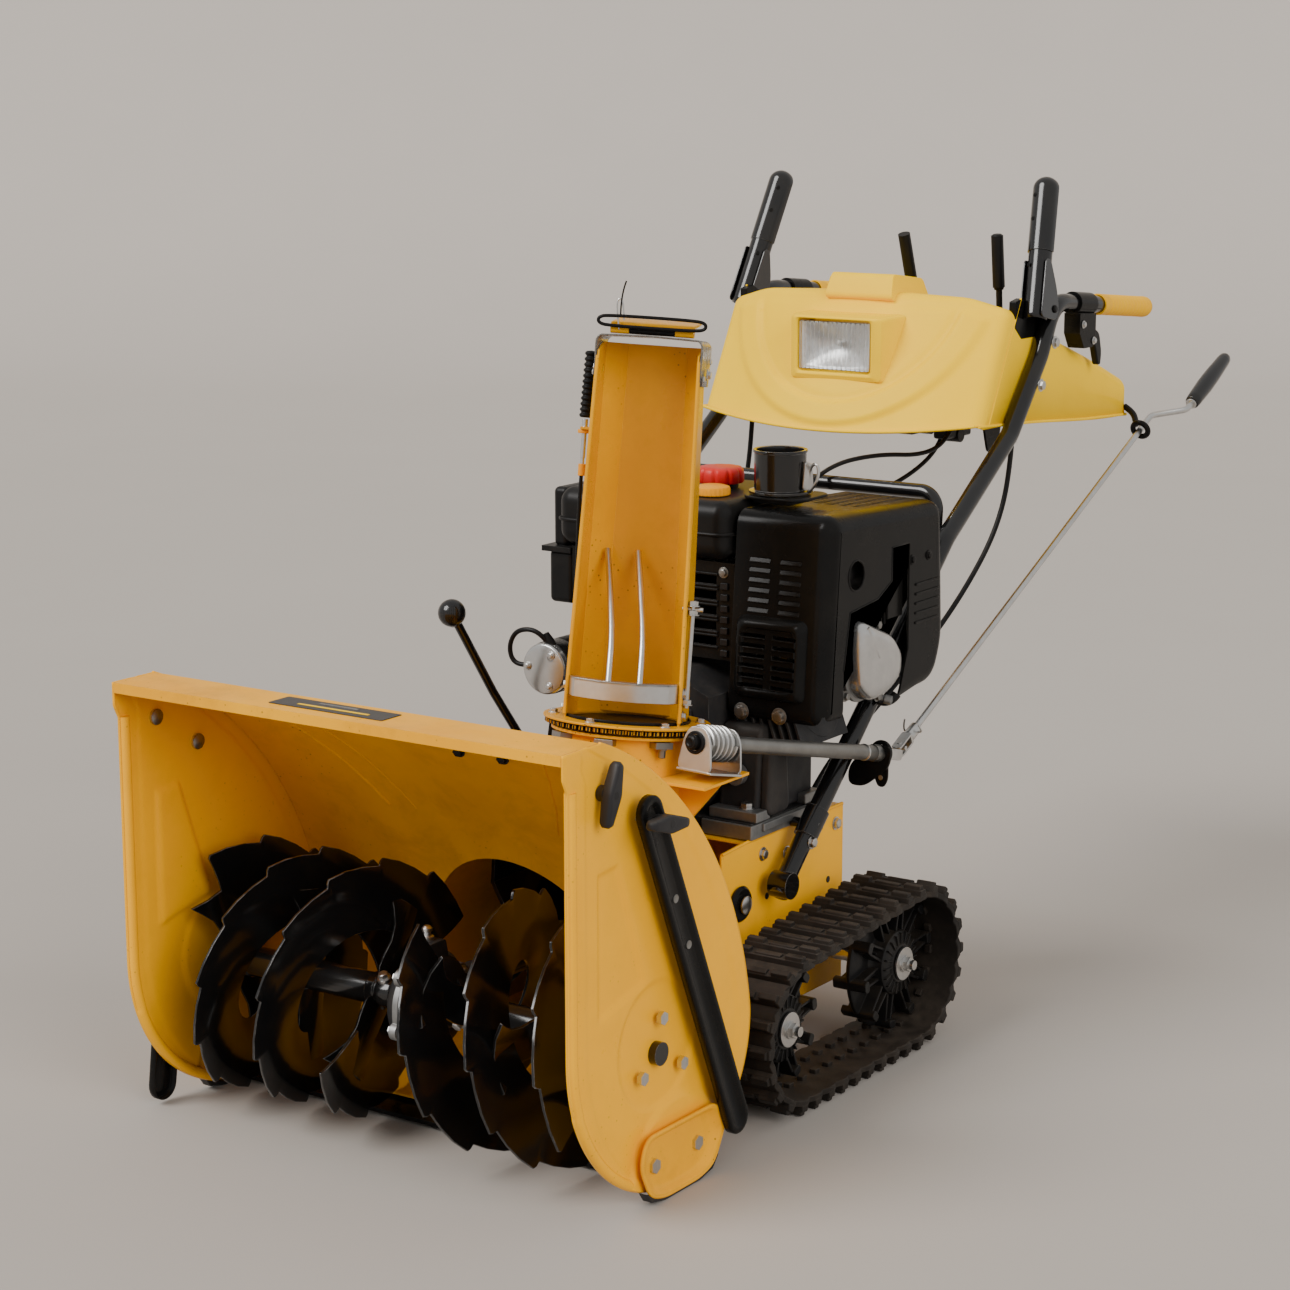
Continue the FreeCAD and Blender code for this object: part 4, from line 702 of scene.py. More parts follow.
def side_plates():
    """The two side plates: pressed sheet, rim and hem."""
    for side, turn in (("left", None), ("right", MIRROR)):
        sheet = plate_sheet()
        bmesh.ops.recalc_face_normals(sheet, faces=sheet.faces)
        if sheet.faces[0].normal.x < 0:
            bmesh.ops.reverse_faces(sheet, faces=sheet.faces)
        piece("side_plate_sheet_" + side, sheet, "yellow", "chassis", ("side_plate_" + side,),
              smooth=50, thick=3.0, place=turn)
        flip = -1 if turn else 1
        rim = [Vector((flip * (HALF_WIDTH - 2.5), p.x + 9 - 3 * (p.y < 150), p.y + 5 * (p.y < 150)))
               for p in resampled(PLATE_FRONT[:26], 60)]
        pipe("side_plate_rim_" + side, rim, 7.5, "yellow", "chassis")
        hem = [Vector((flip * (HALF_WIDTH - 1.0), p.x - 1.5, p.y)) for p in resampled(PLATE_REAR, 80)]
        pipe("side_plate_hem_" + side, hem, 2.2, "yellow", "chassis", sides=3)


def shell_point(x, share, lift):
    """A point on the curved back wall; share runs from the top lip down to the auger's axis."""
    arc = arc_through((76, 605), (305, 429), (404, 189), 60)
    spot = arc[min(60, max(0, round(share * 60)))]
    inward = (Vector((150, 250)) - spot).normalized()
    return Vector((x, spot.x + inward.x * lift, spot.y + inward.y * lift))


def shell_ridges():
    """The housing shell's pressed ridges, folded lip and bolt heads."""
    for side in (1, -1):
        for index, (x_top, x_low) in enumerate(((285, 165), (222, 118))):
            line = [shell_point(side * (x_top + (x_low - x_top) * k / 12), 0.06 + 0.52 * k / 12, 1.6)
                    for k in range(13)]
            pipe("wall_ridge_%d_%d" % (side + 1, index), line, 4.2 - index, "yellow_used", "chassis",
                 sides=4)
    edge = [(-356, 3, 593), (356, 3, 593)]
    pipe("lip_fold", edge, 3.0, "yellow", "chassis", smooth=False)
    for x in (48, 118):
        bolts("wall_bolt_%d" % x, [(shell_point(x, 0.27, 3.2), (0, -1, -0.35))], 7, 6, "satin_black")
    place = [((-HALF_WIDTH + 7.0, y, z), (1, 0, 0)) for y, z in ((73, 546), (150, 498), (194, 40))]
    caps = []
    for spot, direction in place:
        cap = turned([(0, 5), (7, 4), (10.5, 1.6), (11, 0), (0, 0)], 24)
        cap.transform(along(spot, direction))
        caps += [copy_of(cap, MIRROR), cap]
    piece("carriage_bolt_heads", merged(caps), "zinc_dull", "chassis")


def lip_plate():
    """A plain label with two bars on the housing's lip."""
    plate = slab(rounded([(-112, 22), (72, 22), (72, 62), (-112, 62)], 3, 3), 605.0, 605.9, "z")
    piece("lip_label", plate, "dark_plate_and_hole_shade", "chassis", bevel=0.3)
    for index, (x0, x1, y, finish) in enumerate(((-74, 40, 34, "lemon"), (-52, 10, 50, "zinc_dull"))):
        bar = block((x0, y, 605.8), (x1, y + 5, 606.2))
        piece("lip_label_bar_%d" % index, bar, finish, "chassis")


SHOE = [(136, 60), (150, 92), (305, 92), (326, 60), (300, 14), (268, 5), (190, 5), (158, 14)]


def skid_shoes():
    """The skid shoes: pan, rim, slots and sole on each side."""
    for side, name in ((1, "left"), (-1, "right")):
        turn = None if side > 0 else MIRROR
        outline = rounded(SHOE, 16, 5)
        middle = Vector((232, 50))
        rows = []
        for reach, x in ((0.04, 1.0), (0.72, 1.0), (0.80, 1.6), (0.88, 4.5), (0.95, 9.0), (1.0, 11.5)):
            rows.append([Vector((HALF_WIDTH + 4 + x - 1.0, *(middle + (Vector(p) - middle) * reach)))
                         for p in outline])
        pan = cap_ends(grid(rows, closed_columns=True))
        for face in [f for f in pan.faces if len(f.verts) > 8 and f.calc_center_median().x > HALF_WIDTH + 12]:
            pan.faces.remove(face)
        piece("skid_shoe_pan_" + name, pan, "yellow_used", "chassis", ("skid_shoes",),
              smooth=40, thick=2.5, place=turn)
        rim = [Vector((side * (HALF_WIDTH + 14), *p)) for p in outline]
        pipe("skid_shoe_rim_" + name, rim, 2.6, "yellow_used", "chassis", smooth=False,
             closed=True, sides=4)
        # Black plates laid over the uncut pan where its slots are: painted shade in the slot openings.
        slots = merged([slab(rounded([(y - 6, 28), (y + 6, 28), (y + 6, 80), (y - 6, 80)], 5.5, 4),
                             HALF_WIDTH + 4.2, HALF_WIDTH + 4.7, "x") for y in (176, 272)])
        piece("skid_shoe_slots_" + name, slots, "satin_black", "chassis", place=turn)
        sole = slab([(150, 20), (160, 6), (190, 0), (268, 0), (298, 6), (312, 22), (296, 12), (266, 4.5),
                     (192, 4.5), (164, 12)], HALF_WIDTH + 0.5, HALF_WIDTH + 15, "x")
        piece("skid_shoe_sole_" + name, sole, "cast_dark", "chassis", bevel=1.0, place=turn)


# ---------------------------------------------------------------- auger

FLIGHT_FROM, FLIGHT_TO, FLIGHT_LEAD = 58.0, 334.0, 208.0
TOOTH_STEP = 30.0
TOOTH = [(0.0, 164.0), (0.30, 167.0), (0.62, 171.0), (0.93, 174.6), (0.97, 171.0)]
RIBBON_INNER = 78.0


def ribbon(start):
    """One serrated strip of the left half, in the working frame."""
    turns = (FLIGHT_TO - FLIGHT_FROM) / FLIGHT_LEAD
    rows = []
    for k in range(int(turns * 360 / TOOTH_STEP)):
        for share, outer in TOOTH:
            part = (k + share) * TOOTH_STEP / 360 / turns
            angle = math.radians(start + 360 * turns * part)
            x = FLIGHT_FROM + (FLIGHT_TO - FLIGHT_FROM) * part
            direction = Vector((0, math.cos(angle), math.sin(angle)))
            row = []
            for r, dish in ((RIBBON_INNER, 6.0), (110, 2.0), (134, 0), (156, 0.8), (outer, 2.6)):
                row.append(Vector((x + dish, AUGER.y, AUGER.z)) + direction * r)
            rows.append(row)
    return grid(rows)


def flight_strap(part, start):
    """A dished strap from the hub out to a strip."""
    turns = (FLIGHT_TO - FLIGHT_FROM) / FLIGHT_LEAD
    angle = math.radians(start + 360 * turns * part)
    x = FLIGHT_FROM + (FLIGHT_TO - FLIGHT_FROM) * part
    rows = []
    for r, half in ((17, 22), (24, 24), (40, 24), (62, 22), (84, 26), (102, 36), (118, 46)):
        widths = (-half, -half / 2, 0, half / 2, half)
        rows.append([Vector((x + 2 + 4 * (w / 24) ** 2, w, r)) for w in widths])
    strap = grid(rows)
    strap.transform(Matrix.Translation((0, AUGER.y, AUGER.z)) @ Matrix.Rotation(angle - math.pi / 2, 4, "X"))
    return strap


def auger_half(name, first, turn):
    """Two serrated strips, their straps, a hub tube and its shear bolt."""
    replaced = ("auger_flights",)
    for index, start in enumerate((first, first + 180)):
        piece("auger_ribbon_%s_%d" % (name, index), ribbon(start), "black", "auger", replaced,
              smooth=28, thick=4.0, bevel=0.7, segments=1, place=turn)
        straps = merged([flight_strap(part, start) for part in (0.06, 0.5, 0.94)])
        piece("auger_straps_%s_%d" % (name, index), straps, "black", "auger", smooth=50,
              thick=4.5, bevel=0.8, place=turn)
    profile = [(15.4, 52), (20, 52), (21, 54), (21, 76), (23, 78), (23, 90), (21, 92), (21, 300), (23, 302),
               (23, 314), (21, 316), (21, 338), (20, 340), (15.4, 340)]
    hub = turned(profile, 40)
    hub.transform(Matrix.Translation((0, AUGER.y, AUGER.z)) @ Matrix.Rotation(math.pi / 2, 4, "Y"))
    piece("auger_hub_" + name, hub, "black", "auger", bevel=0.6, place=turn)
    pin = merged([hexagon(7, 8), copy_of(hexagon(7, 8), Matrix.Rotation(math.pi, 4, "X"))])
    for vert in pin.verts:
        vert.co.z += 23 if vert.co.z > 0 else -23
    pin.transform(Matrix.Translation((66, AUGER.y, AUGER.z)) @ Matrix.Rotation(math.radians(first), 4, "X"))
    piece("auger_shear_bolt_" + name, pin, "zinc", "auger", bevel=0.4, place=turn)


def auger():
    """Both halves of the auger, the right one mirrored."""
    auger_half("left", 123, None)
    auger_half("right", 24, MIRROR)


def gearbox():
    """The cast gearbox between the auger halves."""
    to_axis = Matrix.Translation(AUGER) @ Matrix.Rotation(math.pi / 2, 4, "Y")
    case = turned([(0, -44), (26, -44), (28, -41), (29, -28), (44, -25), (58, -22), (63, -16), (64, -6),
                   (64, 6), (63, 16), (58, 22), (44, 25), (29, 28), (28, 41), (26, 44), (0, 44)], 56)
    case.transform(to_axis)
    nose = turned([(0, 0), (38, 0), (34, 10), (27, 22), (25, 46), (28, 50), (28, 74), (24, 76), (0, 76)], 40)
    nose.transform(along((0, AUGER.y + 28, AUGER.z), (0, 1, 0)))
    foot = [(AUGER.y - 24, 245), (AUGER.y + 24, 245), (AUGER.y + 18, 272), (AUGER.y - 18, 272)]
    tower = slab(rounded(foot, 6), -17, 17, "x")
    piece("gearbox_case", merged([case, nose, tower]), "cast_dark", "chassis",
          ("auger_gearbox",), bevel=1.2, smooth=42)
    flange = slab(rounded([(72 * math.cos(a) + AUGER.y, 72 * math.sin(a) + AUGER.z)
                           for a in [math.radians(15 + 30 * k) for k in range(12)]], 14, 4), -4.5, 4.5, "x")
    ears = [turned([(0, -6), (11, -6), (12, -5), (12, 5), (11, 6), (0, 6)], 20) for _ in range(6)]
    for k, ear in enumerate(ears):
        angle = math.radians(60 * k + 20)
        spot = (0, AUGER.y + 69 * math.cos(angle), AUGER.z + 69 * math.sin(angle))
        ear.transform(Matrix.Translation(spot) @ Matrix.Rotation(math.pi / 2, 4, "Y"))
    piece("gearbox_flange", merged([flange] + ears), "alloy", "chassis", bevel=1.0, smooth=40)
    spots = []
    for k in range(6):
        angle = math.radians(60 * k + 20)
        spots.append(((6, AUGER.y + 69 * math.cos(angle), AUGER.z + 69 * math.sin(angle)), (1, 0, 0)))
    bolts("gearbox_bolts", spots, 6.5, 6, both=True)
    nipple = turned([(0, 0), (9, 0), (9, 6), (6, 7), (5, 12), (7, 13), (7, 17), (4, 20), (0, 20)], 20)
    nipple.transform(Matrix.Translation((0, AUGER.y, 271)))
    clamp = turned([(0, -9), (8, -9), (8, 9), (0, 9)], 20)
    clamp.transform(Matrix.Translation((0, AUGER.y - 16, 262)) @ Matrix.Rotation(math.pi / 2, 4, "Y"))
    piece("gearbox_plug", merged([nipple, clamp]), "zinc", "chassis", bevel=0.4)


# ---------------------------------------------------------------- tracks

REAR_HUB, FRONT_HUB = Vector((858, 123)), Vector((546, 113))
REAR_R, FRONT_R = 123.0, 113.0
TRACK_IN, TRACK_OUT = 254.0, 370.0
LUGS = 36


def track_loop(inset, count):
    """Evenly spaced (point, outward normal) pairs round both wheels, inset from the lug tips."""
    rear, front = REAR_R - inset, FRONT_R - inset
    line = REAR_HUB - FRONT_HUB
    slope = math.atan2(line.y, line.x)
    tilt = math.asin((rear - front) / line.length)
    up, down = slope + math.pi / 2 + tilt, slope - math.pi / 2 - tilt
    dense = []
    for k in range(61):
        angle = up + (down - up) * k / 60
        dense.append(REAR_HUB + Vector((math.cos(angle), math.sin(angle))) * rear)
    for k in range(61):
        angle = down - (2 * math.pi - (up - down)) * k / 60
        dense.append(FRONT_HUB + Vector((math.cos(angle), math.sin(angle))) * front)
    dense.append(dense[0].copy())
    spots = resampled(dense, count)[:-1]
    pairs = []
    for k, spot in enumerate(spots):
        step = (spots[(k + 1) % count] - spots[k - 1]).normalized()
        pairs.append((spot, Vector((-step.y, step.x))))
    return pairs


def lug(spot, normal):
    """A cross bar with two raised blocks, at one station of the belt."""
    step = Vector((normal.y, -normal.x))

    def bar(x0, x1, low, high, wide, narrow):
        mesh = bmesh.new()
        rings = []
        for x in (x0, x1):
            corners = []
            section = ((-1, wide, low), (1, wide, low), (1, narrow, high), (-1, narrow, high))
            for sign, width, height in section:
                point = spot + normal * height + step * width * sign
                corners.append(mesh.verts.new((x, point.x, point.y)))
            rings.append(corners)
        mesh.faces.new(rings[0])
        mesh.faces.new(rings[1])
        for k in range(4):
            n = (k + 1) % 4
            mesh.faces.new((rings[0][k], rings[0][n], rings[1][n], rings[1][k]))
        bmesh.ops.recalc_face_normals(mesh, faces=mesh.faces)
        return mesh

    tall = 13.2
    return [bar(TRACK_IN, TRACK_OUT, -2, 7.5, 8.5, 6.5), bar(TRACK_IN + 3, TRACK_IN + 30, 6, tall, 6.5, 4.6),
            bar(TRACK_OUT - 30, TRACK_OUT - 3, 6, tall, 6.5, 4.6), bar(292, 332, 6, 10.5, 6.0, 4.5)]


def tracks():
    """The rubber belts with their cross bars and guide teeth."""
    stations = LUGS * 4
    outer, inner = track_loop(14, stations), track_loop(22.5, stations)
    for side, turn in (("left", None), ("right", MIRROR)):
        rows = []
        for k in range(stations):
            notch = 4.0 if k % 4 == 2 else 0.5
            (a, _), (b, _) = outer[k], inner[k]
            rows.append([Vector((TRACK_IN + notch, *a)), Vector((TRACK_OUT - notch, *a)),
                         Vector((TRACK_OUT - notch, *b)), Vector((TRACK_IN + notch, *b))])
        band = grid(rows, closed_rows=True, closed_columns=True)
        bmesh.ops.recalc_face_normals(band, faces=band.faces)
        piece("track_band_" + side, band, "rubber", "chassis", ("track_belts",), bevel=1.5,
              smooth=55, place=turn)
        bars = []
        for k in range(0, stations, 4):
            bars += lug(*outer[k])
        piece("track_lugs_" + side, merged(bars), "rubber", "chassis", bevel=1.3, place=turn)
        guides = []
        for k in range(0, stations, 4):
            spot, normal = inner[k]
            for x in (286, 322):
                tooth = block((x - 5, -6, -1), (x + 5, 6, 6))
                step = Vector((normal.y, -normal.x))
                tooth.transform(axes_matrix(Vector((0, spot.x, spot.y)), Vector((1, 0, 0)),
                                            Vector((0, step.x, step.y)), Vector((0, -normal.x, -normal.y))))
                guides.append(tooth)
        piece("track_guides_" + side, merged(guides), "rubber", "chassis", bevel=1.2,
              place=turn)


def wheel(name, hub, track_r, body, node, turn):
    """The face of one wheel, with its spokes and hub."""
    rim = track_r - 26.0
    to_axle = Matrix.Translation((0, hub.x, hub.y)) @ Matrix.Rotation(math.pi / 2, 4, "Y")
    core = turned([(12.6, 272), (30, 272), (30, 292), (rim - 5, 294), (rim - 1, 297), (rim - 1, 302),
                   (rim - 5, 304), (52, 306), (48, 312), (47, 326), (42, 329), (30, 330), (28, 333),
                   (12.6, 333)], 56)
    core.transform(to_axle)
    fingers = [core]
    for k in range(10):
        loop = []
        for x, y in rounded([(-11, 34), (-8, rim - 3), (8, rim - 3), (11, 34), (7, 34), (4.5, rim - 9),
                             (-4.5, rim - 9), (-7, 34)], 5, 3):
            loop.append((x, y))
        finger = slab(loop, 283, 324 - 4 * (k % 2), "z")
        bar = slab(rounded([(-9, rim - 13), (9, rim - 13), (8, rim - 1), (-8, rim - 1)], 5, 4), 274, 328, "z")
        rib = slab([(-1.8, 40), (1.8, 40), (1.5, rim - 14), (-1.5, rim - 14)], 300, 315, "z")
        for part in (finger, bar, rib):
            part.transform(to_axle @ Matrix.Rotation(math.radians(36 * k + 9), 4, "Z"))
            fingers.append(part)
    for k in range(20):
        rib = slab([(-1.2, 13), (1.2, 13), (1.2, 45), (-1.2, 45)], 326, 332.5, "z")
        rib.transform(to_axle @ Matrix.Rotation(math.radians(18 * k), 4, "Z"))
        fingers.append(rib)
    piece(name, merged(fingers), "wheel", body, (node,), bevel=1.0, smooth=40, place=turn)


def wheels():
    """The spoked drive and idler wheels."""
    for side, short, turn in (("left", "l", None), ("right", "r", MIRROR)):
        for kind, hub, radius in (("drive", REAR_HUB, REAR_R), ("idler", FRONT_HUB, FRONT_R)):
            wheel("%s_wheel_face_%s" % (kind, side), hub, radius, "%s_wheel_%s" % (kind, short),
                  "%s_wheel_%s" % (kind, side), turn)


# ---------------------------------------------------------------- console

DASH_HALF = 247.0
DASH_EDGE = 14.0
LAMP = (-62.0, 62.0, 922.0, 998.0)
LAMP_PLANE = 1211.0


def dash_front_y(x, z):
    """Where the front of the dash stands at a height: an arc across, leaning back."""
    return 1152 + 44 * (x / DASH_HALF) ** 2 + (z - 800) * 0.52


def dash_top_z(y):
    """The height of the dash's top line along the machine: level, then falling to the rear."""
    line = [(1100, 1047), (1300, 1040), (1380, 1008), (1440, 979), (1600, 924), (1722, 879), (1800, 850)]
    for (y0, z0), (y1, z1) in zip(line, line[1:]):
        if y <= y1:
            return z0 + (z1 - z0) * (y - y0) / (y1 - y0)
    return line[-1][1]


def dash_relief(x, z):
    """The crescent pressed into the front, and the flat round the lamp."""
    outer = math.hypot(x / 226, (z - 1042) / 200)
    inner = math.hypot(x / 182, (z - 1042) / 167)
    band = smoothstep(outer, 1.015, 0.975) * (1 - smoothstep(inner, 1.02, 0.975))
    return 5.5 * band + 2.0 * smoothstep(inner, 1.0, 0.9)


def dash_profile(x):
    """The dash cut lengthways at x: up the front, round the top edge and back over the falling top."""
    low = 833 + 18 * (x / DASH_HALF) ** 2
    crest_z = 1040.0
    for _ in range(4):
        crest_z = dash_top_z(dash_front_y(x, crest_z)) - 18 * smoothstep(abs(x), 165, 262)
    last = crest_z - 14
    points = []
    heights = [low + (922 - low) * k / 26 for k in range(26)]
    heights += [922 + 76 * k / 16 for k in range(17)]
    heights += [998 + (last - 998) * (k + 1) / 8 for k in range(8)]
    for z in heights:
        out = dash_relief(x, z) * smoothstep(z, low, low + 8) * smoothstep(z, last, last - 16)
        points.append(Vector((dash_front_y(x, z) - out * 0.887, z + out * 0.46)))
    start = points[-1]
    crest = Vector((dash_front_y(x, crest_z), crest_z + 1))
    drop = dash_top_z(crest.x) - crest_z
    after = Vector((crest.x + 22, dash_top_z(crest.x + 22) - 0.7 * drop))
    points += [bezier([start, crest, after], k / 8) for k in range(1, 9)]
    for k in range(1, 31):
        y = after.x + (1722 - after.x) * k / 30
        points.append(Vector((y, dash_top_z(y) - 0.7 * drop * (1 - k / 30) ** 2)))
    points += [bezier([points[-1], (1738, 871), (1738, 858)], k / 5) for k in range(1, 6)]
    points.append(Vector((1738, 817)))
    return points


def inset(points, amount):
    """The profile moved inwards, towards the dash's hollow."""
    made = []
    for i, point in enumerate(points):
        before, after = points[max(0, i - 1)], points[min(len(points) - 1, i + 1)]
        step = (after - before).normalized()
        made.append(point + Vector((step.y, -step.x)) * amount)
    return made


def dash_columns():
    """x and how far the column lies inside the edge, from right to left."""
    flat = DASH_HALF - DASH_EDGE
    turnings = [(flat + DASH_EDGE * math.sin(a), DASH_EDGE * (1 - math.cos(a)))
                for a in [math.radians(15 * k) for k in range(1, 7)]]
    middle = [-flat + (flat - 62) * k / 34 for k in range(34)] + [-62 + 124 * k / 24 for k in range(25)]
    middle += [62 + (flat - 62) * k / 34 for k in range(1, 35)]
    return [(-x, d) for x, d in reversed(turnings)] + [(x, 0.0) for x in middle] + turnings


def dash_shell():
    columns = dash_columns()
    rows = []
    for x, depth in columns:
        profile = dash_profile(x)
        if depth:
            profile = inset(profile, depth)
        rows.append([Vector((x, p.x, p.y)) for p in profile])
    shell = grid(rows)
    lamp = []
    for face in shell.faces:
        middle = face.calc_center_median()
        if LAMP[0] < middle.x < LAMP[1] and LAMP[2] < middle.z < LAMP[3] and middle.y < 1300:
            lamp.append(face)
    bmesh.ops.delete(shell, geom=lamp, context="FACES")
    for row, x in ((rows[0], -DASH_HALF), (rows[-1], DASH_HALF)):
        wall = []
        front, top = row[0], row
        count = len(top)
        for k in range(count):
            floor_y = top[k].y if top[k].y > front.y else front.y
            low = front.z + (817 - front.z) * smoothstep(floor_y, front.y, 1738)
            wall.append(Vector((x, top[k].y, min(low, top[k].z))))
        side = grid([top, wall])
        data = bpy.data.meshes.new("wall")
        side.to_mesh(data)
        side.free()
        shell.from_mesh(data)
    bmesh.ops.remove_doubles(shell, verts=shell.verts, dist=0.05)
    bmesh.ops.recalc_face_normals(shell, faces=shell.faces)
    return shell


def dash_edges():
    """The rolled lower front edge, the lips along the sides' lower edges and the beads up the sides' front.
    """
    for side in (1, -1):
        row = [(side * (DASH_HALF - 0.5), 1222, 850), (side * (DASH_HALF - 0.5), 1400, 840),
               (side * (DASH_HALF - 0.5), 1580, 826), (side * (DASH_HALF - 0.5), 1736, 818)]
        pipe("dash_side_lip_%d" % (side + 1), row, 2.4, "lemon", "chassis", smooth=False)
        seam = [(side * DASH_HALF, dash_front_y(side * DASH_HALF, z) + 30, z) for z in (848, 920, 990, 1034)]
        pipe("dash_side_bead_%d" % (side + 1), seam, 1.6, "lemon", "chassis", smooth=False)
    low = [(x, dash_front_y(x, 834) - 0.5, 834 + 18 * (x / DASH_HALF) ** 2)
           for x in [-244 + 488 * k / 24 for k in range(25)]]
    pipe("dash_front_lip", low, 2.4, "lemon", "chassis", smooth=False)


def dash_tower():
    """The raised box on top of the dash, set back from its front edge."""
    outline = rounded([(1262, 1030), (1278, 1068), (1372, 1056), (1412, 985)], 9, 5)
    tower = slab(outline, -50, 69, "x")
    for vert in tower.verts:
        if vert.co.z > 1045:
            vert.co.x *= 0.93
    piece("dash_tower", tower, "lemon", "chassis", bevel=5.0, segments=4, smooth=46)


def lamp_bezel():
    """The frame round the head lamp, with a reflector behind its fluted lens."""
    def at(x, z, out):
        return Vector((x, LAMP_PLANE - out, z))

    rings = [((-80, 96, 902, 1008), -50), ((-82, 90, 904, 1007), -14), ((-76, 84, 908, 1005), 4),
             ((-68, 72, 915, 1002), 7), ((-64, 66, 919, 1000), 5), ((-62, 62, 922, 998), -26)]
    rows = []
    for (x0, x1, z0, z1), out in rings:
        rows.append([at(p[0], p[1], out) for p in rounded([(x0, z0), (x1, z0), (x1, z1), (x0, z1)], 7, 4)])
    frame_mesh = grid(rows, closed_columns=True)
    bmesh.ops.recalc_face_normals(frame_mesh, faces=frame_mesh.faces)
    piece("lamp_bezel", frame_mesh, "lemon", "chassis", bevel=1.2, smooth=38)
    columns = []
    for k in range(121):
        x = -61 + 122 * k / 120
        flute = 1.6 * abs(math.sin(math.pi * k / 8))
        columns.append([at(x, 923 + 74 * j / 30, 3.5 + flute) for j in range(31)])
    lens = grid(columns)
    bmesh.ops.recalc_face_normals(lens, faces=lens.faces)
    if sum(f.normal.y for f in lens.faces) > 0:
        bmesh.ops.reverse_faces(lens, faces=lens.faces)
    piece("lamp_lens_face", lens, "lens", "chassis", ("headlight_lens",), thick=2.0, smooth=40)
    bowl = []
    for k in range(25):
        x = -61 + 122 * k / 24
        bowl.append([at(x, 923 + 74 * j / 16, -2 - 26 * (1 - (x / 61) ** 2) * (1 - ((j - 8) / 8) ** 2))
                     for j in range(17)])
    reflector = grid(bowl)
    bmesh.ops.recalc_face_normals(reflector, faces=reflector.faces)
    piece("lamp_reflector", reflector, "mirror", "chassis", smooth=60, thick=1.0)
    bulb = turned([(0, 0), (5, 0), (5, 14), (4, 18), (0, 20)], 20)
    bulb.transform(along(at(0, 960, -26), (0, -1, 0.2)))
    piece("lamp_bulb", bulb, "zinc", "chassis")


def console():
    """The dash shell with its edges, tower, lamp, lever gates and side notches."""
    piece("dash_shell", dash_shell(), "lemon", "chassis", ("console",), smooth=40,
          thick=3.5, even=False)
    dash_edges()
    dash_tower()
    lamp_bezel()
    for index, x in enumerate((40, 180)):
        slope = math.radians(26)
        gate = slab(rounded([(x - 15, -66), (x + 15, -66), (x + 15, 66), (x - 15, 66)], 8, 4), -1, 2.5, "z")
        gate.transform(Matrix.Translation((0, 1412, 992)) @ Matrix.Rotation(-slope, 4, "X"))
        piece("lever_gate_%d" % index, gate, "plastic", "chassis", bevel=1.0)
        # A near-black strip in the gate's slit: painted shade in the opening.
        slit = slab(rounded([(x - 7, -60), (x + 7, -60), (x + 7, 60), (x - 7, 60)], 6, 4), 2.4, 2.9, "z")
        slit.transform(Matrix.Translation((0, 1412, 992)) @ Matrix.Rotation(-slope, 4, "X"))
        piece("lever_slit_%d" % index, slit, "dark_plate_and_hole_shade", "chassis")
    for side in (1, -1):
        turn = None if side > 0 else MIRROR
        notch = slab([(1330, 1030), (1352, 1034), (1440, 990), (1448, 972), (1352, 972), (1330, 990)],
                     236, DASH_HALF + 1.5, "x")
        piece("dash_notch_%d" % (side + 1), notch, "satin_black", "chassis", bevel=1.5,
              place=turn)


# ---------------------------------------------------------------- hand controls

def half_pipe(radius, z_low, z_high, closed_top):
    """A half round channel along Z, open to +Y, in the lever's own frame."""
    rows = []
    heights = [z_low + (z_high - z_low) * k / 20 for k in range(21)]
    scales = [1.0] * len(heights)
    if closed_top:
        for k in range(1, 9):
            heights.append(z_high + radius * 0.95 * math.sin(math.radians(k * 11.25)))
            scales.append(math.cos(math.radians(k * 11.25)))
    for z, scale in zip(heights, scales):
        row = []
        for k in range(17):
            angle = math.pi + math.pi * k / 16
            across, deep = radius * scale * math.cos(angle), radius * scale * math.sin(angle)
            row.append(Vector((across, -24.5 + deep, z)))
        row = [Vector((radius * scale * -1, -21, z))] + row + [Vector((radius * scale, -21, z))]
        rows.append(row)
    return grid(rows)


def clutch_levers():
    """The two clutch levers with their sleeves."""
    frame_left = lever_frame()
    for side, short, turn in (("left", "l", Matrix.Identity(4)), ("right", "r", MIRROR)):
        body, node = "clutch_" + short, "clutch_lever_" + side
        place = turn @ frame_left
        steel = half_pipe(18.6, -24, 120, False)
        piece("lever_steel_" + side, steel, "black", body, (node,), smooth=50, thick=2.0,
              place=place)
        sleeve = half_pipe(20.4, 84, 186, True)
        piece("lever_sleeve_" + side, sleeve, "black", body, smooth=50, thick=2.4,
              bevel=0.6, place=place)
        ears = merged([slab(rounded([(-40, -24), (8, -16), (15, 4), (2, 34), (-24, 70), (-40, 70)], 9, 4),
                            x - 1.1, x + 1.1, "x") for x in (-18.4, 18.4)])
        piece("lever_ears_" + side, ears, "black", body, bevel=0.6, place=place)
        pins = []
        for x, direction in ((19, 1), (-19, -1)):
            pin = turned([(0, 0), (6, 0), (6, 2.5), (4, 4), (0, 4)], 20)
            pin.transform(along((x, 0, 0), (direction, 0, 0)))
            pins.append(pin)
        for z in (60, 134, 172):
            dot = turned([(0, 0), (3.4, 0), (3.4, 0.6), (2.2, 0.9), (0, 0.4)], 16)
            dot.transform(along((-9, -24.5 - 18.4, z), (-0.4, -1, 0)))
            pins.append(dot)
        piece("lever_pins_" + side, merged(pins), "satin_black", body, bevel=0.3, place=place)


def grip_matrix():
    direction = Vector((0, -math.cos(GRIP_TILT), math.sin(GRIP_TILT)))
    return along(GRIP_END, direction)


